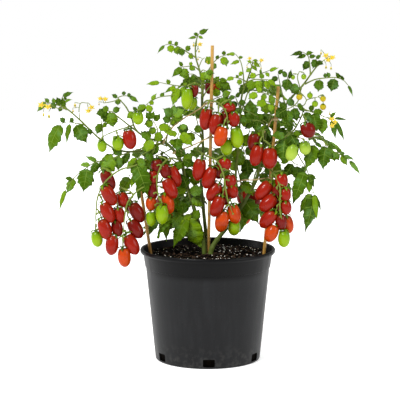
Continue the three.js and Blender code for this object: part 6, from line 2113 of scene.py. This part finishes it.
@dataclass
class Soil(Assembly):
    """The potting mix with perlite and bark on top."""

    rings: int = 44
    sides: int = 132
    fade: float = 14.0
    perlite: ClassVar[tuple] = (3600.0, 5, (0.0007, 0.0007, 0.0006), (0.0021, 0.0018, 0.0015))
    bark: ClassVar[tuple] = (14000.0, 9, (0.0012, 0.0008, 0.0005), (0.0055, 0.0026, 0.0013))

    def build(self) -> None:
        """Builds the mix and its loose bits and settles them."""
        edge = COLLAR_TOP_RADIUS - WALL - 3.4
        low = wall_radius(WALL) - WALL - GAP - 0.3
        top = self._top(edge)
        body = Sketch()
        points = list(top)
        rings = self._numbers()
        for radius, height in ((wall_radius(COLLAR_BOTTOM) - WALL - 0.8, COLLAR_BOTTOM), (low, WALL + GAP)):
            rings.append(range(len(points), len(points) + self.sides))
            for j in range(self.sides):
                turn = tau * j / self.sides
                points.append((radius * cos(turn), radius * sin(turn), height))
        faces = band_faces(rings) + [tuple(reversed(rings[-1])), tuple(rings[0])]
        body.add(np.array(points), faces)
        settle(body.build("soil_body", [self.finishes.soil]), "soil", "soil")
        self._bits("perlite_bits", top, self.finishes.perlite, *self.perlite)
        self._bits("bark_bits", top, self.finishes.bark, *self.bark)

    def _numbers(self) -> list[range]:
        """The numbers of the surface's points, ring by ring."""
        return [range(i * self.sides, (i + 1) * self.sides) for i in range(self.rings)]

    def _top(self, edge: float) -> np.ndarray:
        """The lumpy surface, ring by ring from the middle.

        Args:
            edge: the radius of the last ring, in mm.

        Returns:
            The points of all the rings.
        """
        points = []
        for i in range(self.rings):
            radius = 1.0 + (edge - 1.0) * i / (self.rings - 1)
            for j in range(self.sides):
                turn = tau * j / self.sides
                x, y = radius * cos(turn), radius * sin(turn)
                lumps = 2.6 * sin(x * 0.09 + 1) * cos(y * 0.11 + 2)
                lumps += 1.2 * sin(x * 0.31 + y * 0.27)
                lumps += 0.9 * sin(x * 0.83 - y * 0.41 + 4) * cos(y * 0.77 + x * 0.2)
                fade = min(1.0, (edge - radius) / self.fade)
                points.append((x, y, SOIL_TOP - 1.5 * (1 - fade) + lumps * (0.35 + 0.65 * fade)))
        return np.array(points)

    def _bits(self, name: str, top: np.ndarray, finish: Material, density: float, seed: int,
              smallest: tuple, largest: tuple) -> None:
        """Scatters one kind of bits over the surface.

        Args:
            name: the piece's name.
            top: the surface.
            finish: their material.
            density: how many there are on a square metre.
            seed: the seed of their places.
            smallest: half sizes of the smallest, in metres.
            largest: half sizes of the largest.
        """
        guide = Sketch()
        guide.add(top, band_faces(self._numbers()))
        piece = self.makers.bits.make(guide.build(name, []), Density=density, Seed=seed, Smallest=smallest,
                                      Largest=largest, Finish=finish)
        settle(piece, "soil", "soil")


@dataclass
class Studio:
    """Floor, light and camera."""

    finishes: Finishes
    sensor: float = 36.0
    sky: float = 0.42
    half_floor: float = 6000.0
    lights: ClassVar[dict[str, tuple]] = {
        "key": ((-38.0, 46.0), 2.8, 20.0), "fill": ((64.0, 22.0), 0.9, 26.0),
        "side": ((-98.0, 12.0), 0.5, 22.0), "rim": ((165.0, 52.0), 1.2, 30.0)}

    def build(self) -> None:
        """Sets up the scene round the plant."""
        self._floor()
        self._world()
        for name, values in self.lights.items():
            self._light(name, *values)
        self._camera()

    def _floor(self) -> None:
        """A pale floor."""
        sketch = Sketch()
        corners = [(x * self.half_floor, y * self.half_floor, 0)
                   for x, y in ((-1, -1), (1, -1), (1, 1), (-1, 1))]
        sketch.add(np.array(corners), [(0, 1, 2, 3)])
        sketch.build("studio_floor", [self.finishes.floor])

    def _world(self) -> None:
        """Even pale light from all round."""
        world = bpy.data.worlds.new("studio")
        bpy.context.scene.world = world
        world.use_nodes = True
        graph = Graph(world.node_tree)
        background = world.node_tree.nodes["Background"]
        background.inputs[0].default_value = rgb(1.0, 1.0, 1.0)
        seen = graph.term("ShaderNodeLightPath", None, None, "Is Camera Ray")
        strength = seen * (1.0 - self.sky) + self.sky
        world.node_tree.links.new(strength.socket, background.inputs[1])
        bpy.context.scene.view_settings.view_transform = "Standard"

    def _light(self, name: str, heading: tuple[float, float], power: float, softness: float) -> None:
        """A broad soft light from far off.

        Args:
            name: its name.
            heading: where it comes from: degrees from the front towards the right, and up.
            power: its strength.
            softness: how wide it looks, in degrees.
        """
        turn, rise = (radians(angle) for angle in heading)
        light = bpy.data.lights.new(name, "SUN")
        light.energy, light.angle = power, radians(softness)
        lamp = bpy.data.objects.new(name, light)
        place = Vector((sin(turn) * cos(rise), -cos(turn) * cos(rise), sin(rise)))
        lamp.rotation_euler = (-place).to_track_quat("-Z", "Y").to_euler()
        bpy.context.scene.collection.objects.link(lamp)

    def _camera(self) -> None:
        """The camera at the sight point of the layout grid."""
        camera = bpy.data.cameras.new("camera")
        camera.sensor_width = self.sensor
        camera.lens = GRID_FOCUS / GRID_WIDTH * self.sensor
        camera.clip_end = 30.0
        holder = bpy.data.objects.new("camera", camera)
        holder.location = SIGHT_FROM * MM
        holder.rotation_euler = AHEAD.to_track_quat("-Z", "Y").to_euler()
        bpy.context.scene.collection.objects.link(holder)
        bpy.context.scene.camera = holder


def main() -> None:
    """Builds and dresses the whole plant."""
    logging.basicConfig(level=logging.INFO, format="%(name)s: %(message)s")
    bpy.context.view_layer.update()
    finishes = Finishes()
    kit = Makers(), finishes
    Studio(finishes).build()
    Pot(finishes).build()
    Soil(*kit).build()
    Canes(*kit).build()
    for number in range(len(TIES)):
        Tie(*kit, number).build()
    for node in dict.fromkeys(row[0] for row in STEMS):
        LeafyShoot(*kit, node).build()
    for kind, rows in ((Truss, TRUSSES), (Spray, SPRAYS)):
        for number in range(len(rows)):
            kind(*kit, number).build()


if __name__ == "__main__":
    main()
